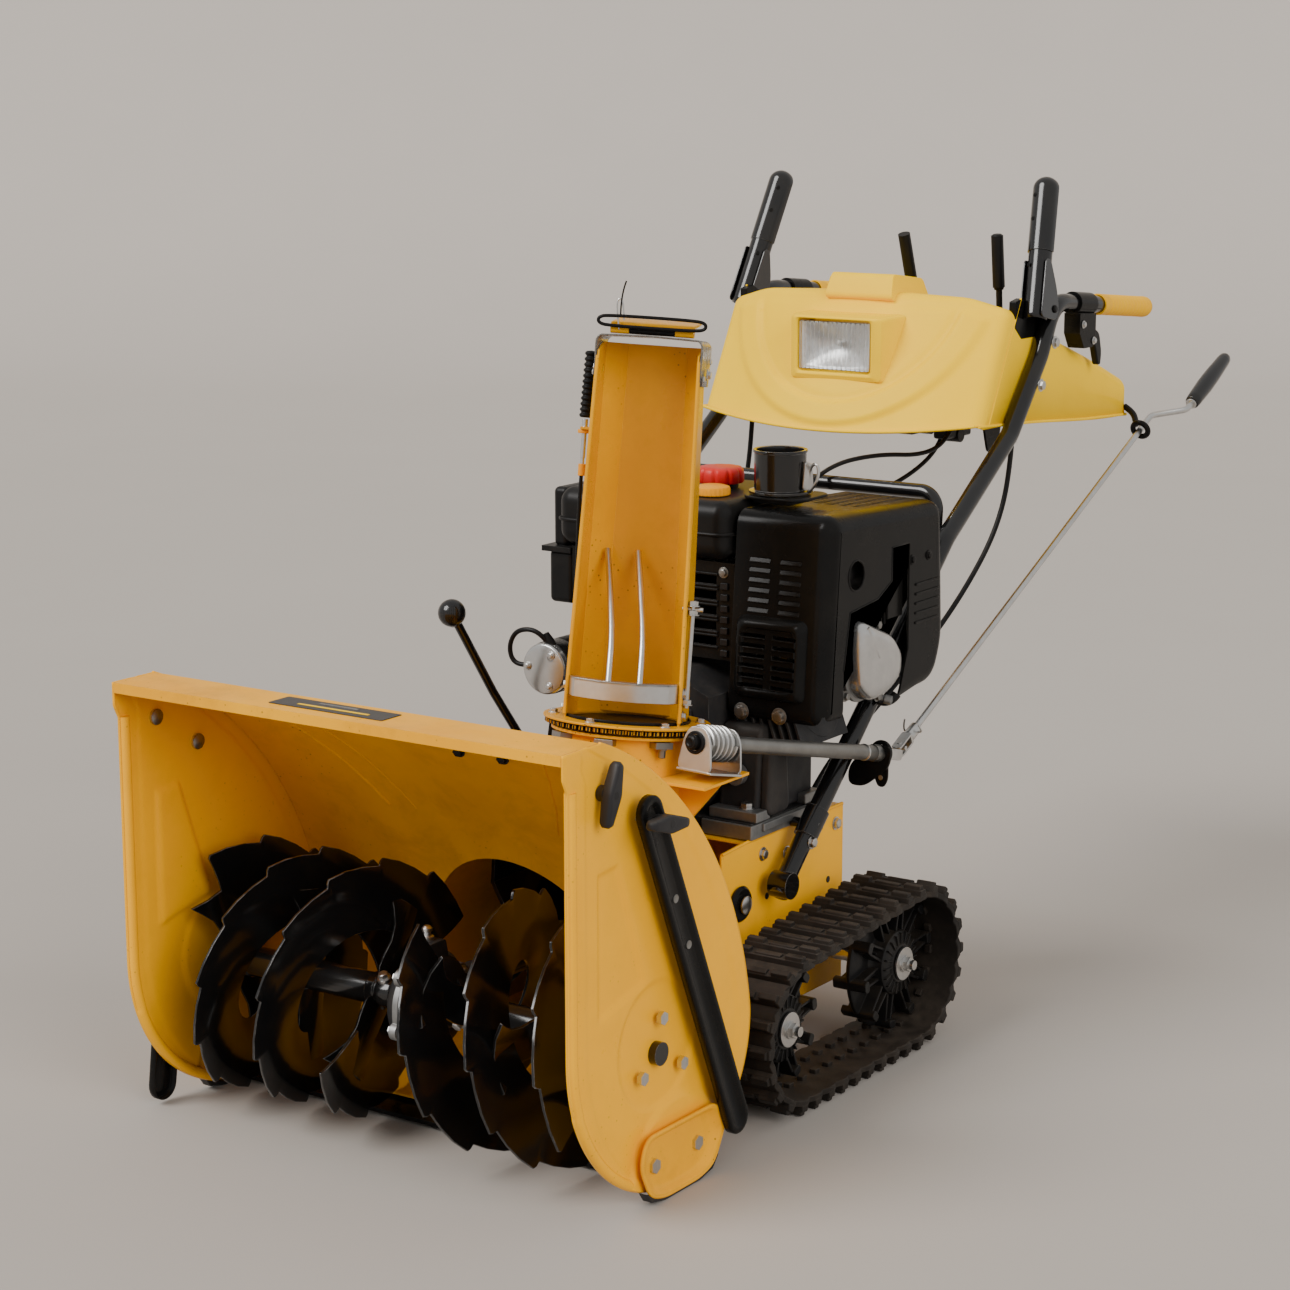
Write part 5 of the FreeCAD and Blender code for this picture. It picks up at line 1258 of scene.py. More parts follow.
def grips():
    """The two ribbed handle grips."""
    profile = [(0, 0.2), (9, 0.4), (14, 2.5), (16.6, 6.5), (17, 12), (16.6, 30)]
    for k in range(11):
        z = 34 + 12 * k
        profile += [(16.6, z), (16.0, z + 1.2), (16.0, z + 2.2), (16.6, z + 3.4)]
    profile += [(16.6, 172), (17, 174), (17, 180), (14.6, 180)]
    for side, turn in (("left", Matrix.Identity(4)), ("right", MIRROR)):
        grip = turned(profile, 44)
        piece("grip_sleeve_" + side, grip, "grip", "chassis", ("handle_grips",), smooth=60,
              place=turn @ grip_matrix())


def triggers():
    """The steering triggers' blades, the screws of their mounts and the handle's bolts."""
    outline = rounded([(1518, 980), (1544, 982), (1584, 966), (1594, 934), (1591, 913), (1582, 914),
                       (1568, 948), (1526, 962)], 9, 5)
    for side, short, turn in (("left", "l", None), ("right", "r", MIRROR)):
        blade = slab(outline, 256.3, 267.7, "x")
        piece("trigger_blade_" + side, blade, "plastic", "trigger_" + short,
              ("steering_trigger_" + side,), bevel=2.6, segments=3, place=turn)
    bolts("trigger_mount_screws", [((276.5, 1506, 984), (1, 0, 0)), ((276.5, 1544, 956), (1, 0, 0))], 4.6, 4,
          both=True)
    bolts("handle_bolts", [((276, 1408, 964), (1, 0, 0)), ((276, 1364, 902), (1, 0, 0)),
                           ((243, 753, 312), (1, 0, 0))], 7.5, 6, both=True)


def dash_levers():
    """The two dash levers' knobs and the lever box under the dash."""
    for name, x, lean in (("deflector", 40, 130), ("speed", 180, 44)):
        body = name + "_control"
        start = Vector((x, 1416 - 0.28 * lean, 1045))
        end = Vector((x, 1416 - 0.5 * lean, 1125))
        knob = turned([(0, 0), (7.2, 0), (8.0, 3), (9.4, 78), (9.0, 84), (6.5, 86.5), (0, 87)], 28)
        knob.transform(along(start - (end - start).normalized() * 4, end - start))
        piece(name + "_lever_knob", knob, "plastic", body, bevel=0.4)
    lumps = [block((24, 1345, 846), (66, 1440, 812)), block((70, 1360, 846), (96, 1420, 820)),
             block((98, 1350, 846), (124, 1430, 808)), block((124, 1362, 846), (150, 1400, 826))]
    piece("lever_box_parts", merged(lumps), "plastic", "chassis", bevel=4.0, segments=3)
    rolls = []
    for x, z, r in ((112, 812, 12), (60, 818, 9), (84, 822, 8)):
        roll = turned([(0, -14), (r, -14), (r, 14), (0, 14)], 24)
        roll.transform(Matrix.Translation((x, 1392, z)) @ Matrix.Rotation(math.pi / 2, 4, "Y"))
        rolls.append(roll)
    piece("lever_box_rolls", merged(rolls), "satin_black", "chassis", bevel=1.0)
    gusset = slab(rounded([(1370, 850), (1440, 850), (1424, 790), (1392, 786)], 10, 4), 170, 174, "x")
    piece("lever_gusset", gusset, "satin_black", "chassis", bevel=0.8)


# ---------------------------------------------------------------- chute and deflector

CHUTE_LENGTH = 503.0


def chute_corner(z, side, back, outward=0.0):
    """A point of the chute's tapered channel at height z in the ring's frame."""
    part = (z - 2) / (CHUTE_LENGTH - 2)
    half = 78 + (68 - 78) * part
    front = -48 + 8 * part
    rear = 66 + (40 - 66) * part
    if back == 0:
        return Vector((side * (half + outward), front, z))
    if back == 1:
        return Vector((side * (half + outward), rear - 26, z))
    return Vector((side * (half - 26 + outward), rear + outward, z))


def chute():
    """The chute's hems, gear ring, flange, keepers, throat lip and bolts."""
    body = "chute_body"
    ring = ring_frame()
    for side in (1, -1):
        hem = [ring @ chute_corner(z, side, 0, -0.6) for z in (6, 120, 240, 360, 484)]
        pipe("chute_hem_%d" % (side + 1), hem, 2.6, "chute_yellow", body, smooth=False)
        outer = [ring @ (chute_corner(z, side, 0, 0.4) + Vector((0, 9, 0))) for z in (6, 120, 240, 360, 470)]
        pipe("chute_line_%d" % (side + 1), outer, 1.3, "chute_yellow", body, smooth=False)
    count = 60
    rim = []
    for k in range(count * 4):
        r = 110.4 if k % 4 in (0, 1) else 105.0
        angle = 2 * math.pi * (k - 0.5) / (count * 4)
        rim.append((r * math.cos(angle), r * math.sin(angle)))
    gear = slab(rim, -8.2, -2.8, "z")
    piece("chute_gear", gear, "plastic", body, bevel=0.3, place=ring)
    plate = turned([(88, -1.2), (112.4, -1.2), (113, -0.6), (113, 1.6), (112.4, 2.3), (88, 2.3)], 72)
    piece("chute_flange", plate, "chute_yellow", body, bevel=0.4, place=ring)
    heads = []
    for k in range(6):
        angle = math.radians(60 * k + 10)
        head = hexagon(5.5, 5.5)
        head.transform(ring @ Matrix.Translation((99 * math.cos(angle), 99 * math.sin(angle), 2.2)))
        heads.append(head)
    piece("chute_flange_bolts", merged(heads), "zinc", body, bevel=0.4)
    under = []
    for k in range(3):
        angle = math.radians(-118 + 46 * k)
        clamp = block((-9, -13, -26), (9, 13, -17))
        clamp.transform(ring_frame(0) @ Matrix.Rotation(angle, 4, "Z") @ Matrix.Translation((96, 0, 0)))
        under.append(clamp)
        nut = hexagon(5, 12)
        nut.transform(ring_frame(0) @ Matrix.Rotation(angle, 4, "Z") @ Matrix.Translation((99, 0, -26))
                      @ Matrix.Rotation(math.pi, 4, "X"))
        under.append(nut)
    piece("chute_keepers", merged(under), "zinc_dull", "chassis", bevel=0.6)
    lip = turned([(84, -0.5), (86, -0.5), (86, 5.5), (85, 6.5), (84, 5.5)], 64)
    piece("chute_throat_lip", lip, "satin_black", body, place=ring)
    side_bolts = []
    for x, y, z, direction in ((-79, -34, 14, -1), (79, -34, 14, 1), (-78, -34, 44, -1), (78, -34, 44, 1)):
        head = hexagon(6, 5)
        head.transform(ring @ along((x, y, z), (direction, 0, 0)))
        side_bolts.append(head)
    piece("chute_side_bolts", merged(side_bolts), "zinc", body, bevel=0.4)
    rod_line = [ring @ Vector((83, -33, z)) for z in (26, 168)]
    pipe("chute_long_bolt", rod_line, 3.6, "zinc", body, smooth=False)
    nuts = []
    for z in (30, 150, 162):
        nut = hexagon(7, 7)
        nut.transform(ring @ Matrix.Translation((83, -33, z)))
        nuts.append(nut)
    crosspin = turned([(0, -14), (3, -14), (3, 14), (0, 14)], 16)
    crosspin.transform(ring @ Matrix.Translation((83, -33, 158)) @ Matrix.Rotation(math.pi / 2, 4, "Y"))
    piece("chute_long_bolt_nuts", merged(nuts + [crosspin]), "zinc", body, bevel=0.4)


def chute_guard():
    """The bent zinc strap across the chute's mouth, with its two bars."""
    ring = ring_frame()
    bend = [(-76, -44), (-64, -66), (-24, -85), (24, -85), (64, -66), (76, -44)]
    inner = [(73, -41), (61, -62), (23, -80.5), (-23, -80.5), (-61, -62), (-73, -41)]
    flange = [(73, -35), (56, -52), (21, -70), (-21, -70), (-56, -52), (-73, -35)]
    strap = merged([slab(bend + inner, 32, 58, "z"), slab(bend + flange, 54.5, 58, "z")])
    piece("chute_guard_strap", strap, "zinc", "chute_body", ("chute_guard",), bevel=0.8,
          place=ring)
    for index, x in enumerate((-21, 21)):
        line = [(x + 5, -78, 50), (x + 4, -70, 76), (x, -46, 120), (x - 16, 4, 180), (x - 28, 38, 224)]
        pipe("chute_guard_bar_%d" % index, [ring @ Vector(p) for p in line], 4.2, "zinc", "chute_body")


def deflector():
    """The hood at the chute's top, with its hinge barrels, blade, wire loop, clip and bolts."""
    body = "deflector_hood"
    ring = ring_frame()
    rows = []
    for y in (-42, -38, -10, 20, 38, 42):
        drop = 6 if y in (-42, 42) else 0
        row = [Vector((70.8, y, 452 + drop)), Vector((71.5, y, 470)), Vector((72.0, y, 492))]
        for k in range(1, 8):
            angle = math.radians(90 * k / 8)
            row.append(Vector((62 + 10 * math.cos(angle), y, 502 + 11 * math.sin(angle))))
        row += [Vector((45, y, 513.5)), Vector((0, y, 514.5))]
        row += [Vector((-p.x, p.y, p.z)) for p in reversed(row[:-1])]
        rows.append(row)
    hood = grid(rows)
    bmesh.ops.recalc_face_normals(hood, faces=hood.faces)
    piece("deflector_hood_shell", hood, "smoke", body, ("deflector",), smooth=60, thick=2.2,
          place=ring)
    ends = []
    for x0, x1 in ((-56, -31), (31, 56)):
        ends.append(slab(rounded([(-26, 514.8), (-14, 514.8), (-14, 525), (-26, 525)], 4, 3), x0, x1, "x"))
    piece("deflector_barrel_ends", merged(ends), "chute_yellow", body, bevel=0.6, place=ring)
    middle = slab(rounded([(-25, 515), (-15, 515), (-15, 524), (-25, 524)], 4, 3), -30.6, 30.6, "x")
    piece("deflector_barrel_middle", middle, "satin_black", body, bevel=0.6, place=ring)
    blade = slab(rounded([(-22, 526), (-22, 530), (42, 537), (43, 533.5)], 1, 2), -56, 56, "x")
    piece("deflector_blade", blade, "chute_yellow", body, bevel=0.5, place=ring)
    loop = [(-58, -30, 524), (58, -30, 524), (72, -30, 527), (72, -30, 535), (58, -30, 538), (-58, -30, 538),
            (-72, -30, 535), (-72, -30, 527)]
    pipe("deflector_wire_loop", [ring @ Vector(p) for p in loop], 2.3, "satin_black", body,
         closed=True)
    clip = [(-44, -26, 520), (-50, -28, 552), (-46, -28, 562), (-40, -28, 556), (-38, -27, 532)]
    pipe("deflector_clip", [ring @ Vector(p) for p in clip], 1.1, "zinc", body)
    spike = [(-43, -28, 540), (-44, -29, 566), (-38, -30, 584)]
    pipe("deflector_clip_end", [ring @ Vector(p) for p in spike], 1.1, "satin_black", body)
    heads = []
    for x, z in ((74.2, 468), (-74.2, 468)):
        head = hexagon(6, 5)
        head.transform(ring @ along((x, 0, z), (math.copysign(1, x), 0, 0)))
        heads.append(head)
    for x, y, z in ((73.8, -28, 462), (-73.8, -28, 462), (73.8, 24, 486), (-73.8, 24, 486)):
        head = turned([(0, 2.6), (3.4, 1.8), (4.6, 0), (0, 0)], 18)
        head.transform(ring @ along((x, y, z), (math.copysign(1, x), 0, 0)))
        heads.append(head)
    piece("deflector_bolts", merged(heads), "zinc", body, bevel=0.4)


def deflector_control():
    """The bellows, tab, adjuster and cable end on the right side of the chute."""
    body = "chute_body"
    ring = ring_frame()
    profile = []
    for k in range(12):
        z = 7.5 * k
        profile += [(6.5, z), (8.6, z + 2.2), (8.6, z + 4.2), (6.5, z + 6.4)]
    bellows = turned([(0, 0)] + profile + [(0, 90)], 24)
    bellows.transform(ring @ along((-86, 2, 400), (0.02, 0.03, 1)))
    piece("deflector_bellows", bellows, "plastic", body)
    tab = block((-90, -10, 384), (-70, 22, 388))
    upright = block((-74, -10, 372), (-70.4, 22, 402))
    piece("deflector_cable_tab", merged([tab, upright]), "chute_yellow", body, bevel=0.8,
          place=ring)
    adjuster = turned([(0, -62), (2.6, -62), (2.6, -50), (3.4, -50), (3.4, -14), (6.5, -14), (6.5, -8),
                       (4, -8), (4, 2), (0, 2)], 20)
    adjuster.transform(ring @ Matrix.Translation((-86, 2, 396)))
    piece("deflector_adjuster", adjuster, "zinc", body, bevel=0.3)
    collar = turned([(2.6, -5), (8.5, -5), (9, -4), (9, -1), (8.5, 0), (2.6, 0)], 24)
    collar.transform(ring @ Matrix.Translation((-86, 2, 384)))
    ferrule = turned([(2.8, -8), (5, -8), (5, 8), (2.8, 8)], 20)
    ferrule.transform(ring @ Matrix.Translation((-86, 2, 330)))
    piece("deflector_ferrules", merged([collar, ferrule]), "amber", body, bevel=0.4)
    line = [(-86, 2, 336), (-87, 4, 290), (-86, 16, 200), (-84, 26, 90), (-84, 30, 20)]
    pipe("deflector_cable", [ring @ Vector(p) for p in line], 2.6, "plastic", body)


# ---------------------------------------------------------------- worm, rod and crank

def worm():
    """The worm with its tube, bands, bush, shaft end and fork."""
    body = "worm"
    place = line_frame(WORM_CENTRE, WORM_END)
    length = (WORM_END - WORM_CENTRE).length
    rows = []
    turns, steps = 5, 36
    for k in range(turns * steps + 1):
        angle = 2 * math.pi * k / steps
        y = -25 + 50 * k / (turns * steps)
        row = []
        for r, dy in ((16, -3.4), (21, -2.6), (24.4, -1.6), (25, 0), (24.4, 1.6), (21, 2.6), (16, 3.4)):
            row.append(Vector((r * math.cos(angle), y + dy, r * math.sin(angle))))
        rows.append(row)
    thread = grid(rows)
    bmesh.ops.recalc_face_normals(thread, faces=thread.faces)
    core = turned([(0, -29), (17, -29), (18, -28), (18, 28), (17, 29), (0, 29)], 40)
    core.transform(along((0, 0, 0), (0, 1, 0)))
    piece("worm_thread", merged([thread, core]), "zinc", body, ("worm_shaft",), smooth=44,
          place=place)
    shaft = turned([(0, 29), (11, 29), (11, length - 2), (10, length), (0, length)], 36)
    shaft.transform(along((0, 0, 0), (0, 1, 0)))
    piece("worm_tube", shaft, "zinc_dull", body, bevel=0.4, place=place)
    bands = []
    for y in (44, length - 52):
        band = turned([(10.8, y), (12.2, y + 0.5), (12.2, y + 2.5), (10.8, y + 3)], 32)
        band.transform(along((0, 0, 0), (0, 1, 0)))
        bands.append(band)
    collar = turned([(10.5, length - 30), (12.4, length - 30), (12.4, length - 14), (10.5, length - 14)], 32)
    collar.transform(along((0, 0, 0), (0, 1, 0)))
    piece("worm_tube_bands", merged(bands), "zinc", body, place=place)
    piece("worm_tube_bush", collar, "zinc_dull", body, bevel=0.4, place=place)
    end = turned([(0, -46), (8, -46), (10, -44), (10.5, -30), (0, -30)], 28)
    end.transform(along((0, 0, 0), (0, 1, 0)))
    dimple = turned([(0, -46.2), (4, -46.4), (5.5, -47.2), (7, -46), (7, -44), (0, -44)], 24)
    dimple.transform(along((0, 0, 0), (0, 1, 0)))
    piece("worm_shaft_end", merged([end, dimple]), "satin_black", body, bevel=0.4, place=place)
    fork = []
    for x in (-7, 7):
        fork.append(slab(rounded([(length, -8), (length + 34, -8), (length + 34, 8), (length, 8)], 6, 4),
                         x - 1.6, x + 1.6, "x"))
    fork.append(block((-8, length - 1, -8), (8, length + 4, 8)))
    piece("worm_fork", merged(fork), "zinc", body, bevel=0.8, place=place)


def worm_bracket():
    """A zinc U bracket with tapered, round-topped ends, the tube's hanger and the rod's support loop."""
    place = line_frame(WORM_CENTRE, WORM_END)
    ends = []
    for y in (-34, 30):
        outline = rounded([(-27, -38), (32, -38), (24, 6), (13, 21), (-12, 21), (-21, 6)], 12, 5)
        ends.append(slab(outline, y, y + 3.4, "y"))
    ends.append(block((-27, -34, -39.5), (32, 33.4, -36)))
    piece("worm_bracket", merged(ends), "zinc", "chassis", ("control_brackets",), bevel=1.0,
          place=place)
    bush = turned([(11.2, -37), (15, -37), (15.5, -36), (15.5, -34), (11.2, -34)], 32)
    bush.transform(along((0, 0, 0), (0, 1, 0)))
    piece("worm_bush", bush, "plastic", "chassis", bevel=0.4, place=place)
    hanger = rounded([(236, 372), (262, 372), (302, 404), (307, 436), (268, 436), (236, 398)], 12, 5)
    piece("tube_hanger", slab(hanger, 864, 869, "y"), "satin_black", "chassis",
          bevel=1.0)
    collar = turned([(12.4, 0), (18, 0), (19, 1.5), (19, 5), (18, 6), (12.4, 6)], 36)
    collar.transform(along((285.2, 868, 423.6), WORM_END - WORM_CENTRE))
    piece("tube_hanger_collar", collar, "satin_black", "chassis", bevel=0.5)
    tail = slab(rounded([(276, 424), (298, 424), (298, 386), (292, 374), (282, 374), (276, 386)], 8, 4),
                869.5, 872.5, "y")
    piece("tube_hanger_tail", tail, "satin_black", "chassis", bevel=0.6)
    hole = turned([(0, 0), (3.6, 0), (3.6, 0.5), (0, 0.5)], 20)
    hole.transform(along((287, 868.6, 388), (0, -1, 0)))
    piece("tube_hanger_hole", hole, "zinc", "chassis")
    arm = [(246, 1732, 831), (262, 1728, 824), (276, 1712, 812), (280, 1704, 806)]
    pipe("rod_support_arm", arm, 5.2, "satin_black", "chassis")
    axis = (ROD_END - ROD_START).normalized()
    centre = ROD_START + axis * ((Vector((291.6, 1697, 799)) - ROD_START).dot(axis))
    side = axis.cross(Vector((0, 0, 1))).normalized()
    up = side.cross(axis)
    ring = [centre + side * 13.2 * math.cos(a) + up * 13.2 * math.sin(a)
            for a in [2 * math.pi * k / 16 for k in range(16)]]
    pipe("rod_support_loop", ring, 4.6, "satin_black", "chassis", closed=True)


def universal_joint():
    """The fork and cotter pin at the rod's lower end."""
    axis = (ROD_END - ROD_START).normalized()
    side = Vector((1, 0, 0))
    up = axis.cross(side)
    place = axes_matrix(ROD_START, up.cross(axis), axis, up)
    fork = []
    for z in (-7, 7):
        fork.append(slab(rounded([(-8, -12), (8, -12), (8, 26), (-8, 26)], 6, 4), z - 1.6, z + 1.6, "z"))
    fork.append(block((-8, 20, -8), (8, 25, 8)))
    socket = turned([(0, 24), (8.4, 24), (9, 25), (9, 48), (8.4, 49), (0, 49)], 28)
    socket.transform(along((0, 0, 0), (0, 1, 0)))
    fork.append(socket)
    cross = turned([(0, -9.5), (3.6, -9.5), (3.6, 9.5), (0, 9.5)], 20)
    fork.append(cross)
    other = turned([(0, -9.5), (3.6, -9.5), (3.6, 9.5), (0, 9.5)], 20)
    other.transform(Matrix.Rotation(math.pi / 2, 4, "Y"))
    fork.append(other)
    piece("crank_joint_fork", merged(fork), "zinc", "crank", bevel=0.7, place=place)
    pin = [(-13, 38, 0), (13, 38, 0), (17, 38, -5), (13, 38, -14)]
    pipe("crank_cotter", [place @ Vector(p) for p in pin], 1.4, "zinc", "crank")
    tail = [(-13, 38, 0), (-15, 40, -6), (-12, 44, -16)]
    pipe("crank_cotter_tail", [place @ Vector(p) for p in tail], 1.2, "zinc_dull", "crank")


def crank():
    """The crank's bar, washer and grip."""
    axis = (ROD_END - ROD_START).normalized()
    knee = ROD_END + CRANK_ARM
    line = [ROD_START + axis * 40, ROD_END - axis * 16, ROD_END - axis * 2, ROD_END + CRANK_ARM * 0.16,
            ROD_END + CRANK_ARM * 0.84, knee + axis * 2, knee + axis * 16, knee + axis * 22]
    pipe("crank_bar", line, 5.0, "zinc", "crank", ("crank_rod",))
    washer = turned([(0, 0), (9, 0), (9, 2), (0, 2)], 28)
    washer.transform(along(knee + axis * 18.5, axis))
    piece("crank_washer", washer, "zinc", "crank", bevel=0.3)
    profile = [(4.4, 0), (9.5, 0), (11.5, 2), (12.6, 14), (14, 52), (13.6, 84), (12.2, 112), (11.4, 132),
               (10.2, 141), (7.6, 146), (4.4, 147)]
    handle = turned(profile, 40)
    handle.transform(along(knee + axis * 22, axis))
    piece("crank_grip_body", handle, "black", "crank_handle", ("crank_grip",), smooth=60)
    cap = turned([(0, 1.8), (3.2, 1.4), (4.4, 0), (0, 0)], 20)
    cap.transform(along(knee + axis * 168.5, axis))
    piece("crank_grip_cap", cap, "zinc", "crank")


# ---------------------------------------------------------------- engine

COVER_SIDE = 283.0
COVER_EDGE = 24
LOUVRE_STEP = 14
COVER_OUTLINE = [(712, 484), (736, 779), (1054, 766), (1066, 560), (1040, 500), (900, 478)]


def cover_front_y(z):
    """Where the engine cover's leaning front stands at a height."""
    return 712 + (z - 484) * 22 / 268


def shrunk(outline, amount):
    """A closed outline moved inwards."""
    centre = sum((Vector(p) for p in outline), Vector((0, 0))) / len(outline)
    made = []
    for i, corner in enumerate(outline):
        point = Vector(corner)
        step = (Vector(outline[(i + 1) % len(outline)]) - Vector(outline[i - 1])).normalized()
        inward = Vector((step.y, -step.x))
        if inward.dot(centre - point) < 0:
            inward = -inward
        made.append(point + inward * amount)
    return made


def cover_solid(start, wall):
    """The engine cover's round-edged body, or the space inside it for a wall thickness."""
    outline = rounded(COVER_OUTLINE, 27, 7)
    rings = [(start, wall), (250, wall)]
    for k in range(8):
        angle = math.radians(90 * k / 7)
        edge = COVER_EDGE - wall
        rings.append((COVER_SIDE - COVER_EDGE + edge * math.sin(angle), wall + edge * (1 - math.cos(angle))))
    rows = [[Vector((x, p.x, p.y)) for p in shrunk(outline, amount)] for x, amount in rings]
    solid = cap_ends(grid(rows, closed_columns=True))
    bmesh.ops.recalc_face_normals(solid, faces=solid.faces)
    return solid


def panel_slots():
    """Cutters for the raised panel's louvres."""
    boxes = []
    for k in range(6):
        z = 535 + LOUVRE_STEP * k
        boxes += [block((148, 690, z), (188, 760, z + 5)), block((200, 690, z), (240, 760, z + 5))]
    return boxes


def cover_slots():
    """The louvre and top perforations of the engine cover."""
    boxes = panel_slots()
    for k in range(6):
        z = 640 + LOUVRE_STEP * k
        boxes += [block((152, 690, z), (186, 760, z + 5)), block((202, 690, z), (236, 760, z + 5))]
    for i in range(5):
        for j in range(12):
            x, y = 146 + 21 * i, 872 + 13.5 * j
            boxes.append(block((x, y, 745), (x + 13, y + 7, 800)))
    return merged(boxes)


def cover_windows():
    """The big window and the round hole in the cover's side."""
    window = [(768, 440), (768, 560), (784, 640), (860, 648), (900, 668), (900, 716), (950, 716), (950, 560),
              (905, 440)]
    angles = [math.tau * k / 28 for k in range(28)]
    circle = [(800 + 22 * math.cos(angle), 690 + 22 * math.sin(angle)) for angle in angles]
    return slab(window, 262, 300, "x"), slab(circle, 262, 300, "x")


def engine_cover():
    """The pressed cover over the muffler, with its louvre blades."""
    body, slot = "chassis", "satin_black_paint"
    shell = carved(cover_solid(128, 0), cover_solid(120, 3.5))
    shell = carved(shell, block((120, 722, 440), (279, 1056, 502)))
    shell = carved(shell, cover_slots())
    for cutter in cover_windows():
        shell = carved(shell, cutter)
    cover = piece("cover_shell", shell, "satin_black", body, ("engine_cover",), smooth=40)
    cover.modifiers.new("shade", "WEIGHTED_NORMAL").keep_sharp = True
    blades = []
    for k in range(6):
        z = 640 + LOUVRE_STEP * k
        for x in (169, 219):
            blade = slab([(-17, 0), (17, 0), (17, 8), (-17, 8)], 0, 1.6, "y")
            blade.transform(Matrix.Translation((x, cover_front_y(z) - 2.2, z - 1.5))
                            @ Matrix.Rotation(math.radians(-32), 4, "X"))
            blades.append(blade)
    piece("cover_louvres", merged(blades), "satin_black", body, bevel=0.5)


def cover_panel():
    """The raised lower panel of the cover's front, with its slots and their lips."""
    body, slot = "chassis", "satin_black_paint"
    corners = [(138, 519), (250, 519), (250, 632), (138, 632)]
    frame_rows = []
    for grow, out in ((2, -1.0), (0, 4.0), (-4, 10.0), (-9, 12.5), (-13, 11.5), (-15, 8.0)):
        ring = rounded([(c[0] + (grow if c[0] > 200 else -grow), c[1] + (grow if c[1] > 560 else -grow))
                        for c in corners], 14, 5)
        frame_rows.append([Vector((x, cover_front_y(z) - out, z)) for x, z in ring])
    raised = cap_ends(grid(frame_rows, closed_columns=True))
    bmesh.ops.recalc_face_normals(raised, faces=raised.faces)
    panel = piece("cover_panel", carved(raised, merged(panel_slots())), "satin_black", body, smooth=45)
    panel.modifiers.new("shade", "WEIGHTED_NORMAL").keep_sharp = True
    lips = []
    for k in range(6):
        z = 535 + LOUVRE_STEP * k
        for x0, x1 in ((148, 188), (200, 240)):
            lips.append(block((x0, cover_front_y(z) - 10.5, z - 2.2), (x1, cover_front_y(z) - 7.0, z)))
    piece("cover_panel_lips", merged(lips), "satin_black", body, bevel=0.8)


def cover_fittings():
    """The side louvres, the openings' rims, the muffler and plug lead inside, and the bolts."""
    body, slot = "chassis", "satin_black_paint"
    ridges = []
    for k in range(5):
        z = 594 + LOUVRE_STEP * k
        ridges.append(block((COVER_SIDE - 0.5, 968, z), (COVER_SIDE + 2.2, 1036, z + 4)))
    piece("cover_side_louvres", merged(ridges), "satin_black", body, bevel=1.4)
    rim = [(COVER_SIDE - 0.4, 800 + 22 * math.cos(a), 690 + 22 * math.sin(a))
           for a in [2 * math.pi * k / 16 for k in range(16)]]
    pipe("cover_hole_rim", rim, 1.6, "satin_black", body, closed=True)
    window = [(768, 560), (784, 640), (860, 648), (900, 668), (900, 716), (950, 716), (950, 560)]
    edge = [(COVER_SIDE - 0.8, y, z) for y, z in window]
    pipe("cover_window_rim", edge, 1.8, "satin_black", body, smooth=False)
    muffler = turned([(0, -70), (34, -70), (40, -64), (40, 64), (34, 70), (0, 70)], 36)
    muffler.transform(Matrix.Translation((222, 842, 690)) @ Matrix.Rotation(math.pi / 2, 4, "X"))
    piece("muffler", muffler, "cast_dark", body, bevel=2.0)
    guard = block((COVER_SIDE - 12, 905, 610), (COVER_SIDE - 9, 948, 712))
    piece("muffler_guard", guard, "satin_black", body, bevel=1.5)
    lead = [(250, 850, 640), (262, 880, 655), (262, 915, 632), (256, 925, 600)]
    pipe("plug_lead", lead, 3.2, "plastic", body)
    heads = [((COVER_SIDE, 958, 690), (1, 0, 0)), ((COVER_SIDE, 1006, 690), (1, 0, 0))]
    bolts("cover_side_screws", heads, 5.5, 4, "satin_black")
    feet = [((152, 711, 498), (0, -1, 0)), ((214, 711, 498), (0, -1, 0))]
    bolts("cover_front_bolts", feet, 9, 7, "zinc_dull")


def cover_top():
    """The intake cup on the cover's top, its foot and its clip."""
    cup = turned([(0, 4), (33, 4), (33.5, 55), (34, 58.5), (38.2, 59), (38.8, 58), (38.6, 55.5), (37, 54.5),
                  (36.6, 2), (44, 1), (44, -2), (0, -2)], 64)
    cup.transform(Matrix.Translation((150, 812, 797)))
    piece("intake_cup_wall", cup, "black", "chassis", ("intake_cup",), smooth=40)
    outline = rounded([(118, 772), (190, 772), (206, 786), (206, 852), (190, 866), (118, 866), (106, 852),
                       (106, 786)], 8, 4)
    foot = merged([slab(outline, 788, 792, "z"),
                   slab(rounded([(118, 784), (184, 784), (184, 852), (118, 852)], 10, 4), 781, 788.5, "z")])
    piece("intake_cup_foot", foot, "plastic", "chassis", bevel=1.2)
    strap = [(188.5, 826, 796), (189.5, 824, 822), (196, 822, 836), (206, 820, 838), (210, 818, 824),
             (204, 816, 806), (194, 818, 798)]
    pipe("intake_cup_clip", strap, 2.2, "zinc", "chassis")
    plate = slab(rounded([(806, 800), (834, 800), (830, 836), (812, 842)], 6, 4), 189, 192, "x")
    piece("intake_cup_clip_plate", plate, "zinc", "chassis", bevel=0.8)


VALVE = [(802, 628), (842, 612), (888, 594), (916, 562), (912, 530), (878, 510), (828, 506), (804, 526),
         (798, 576)]


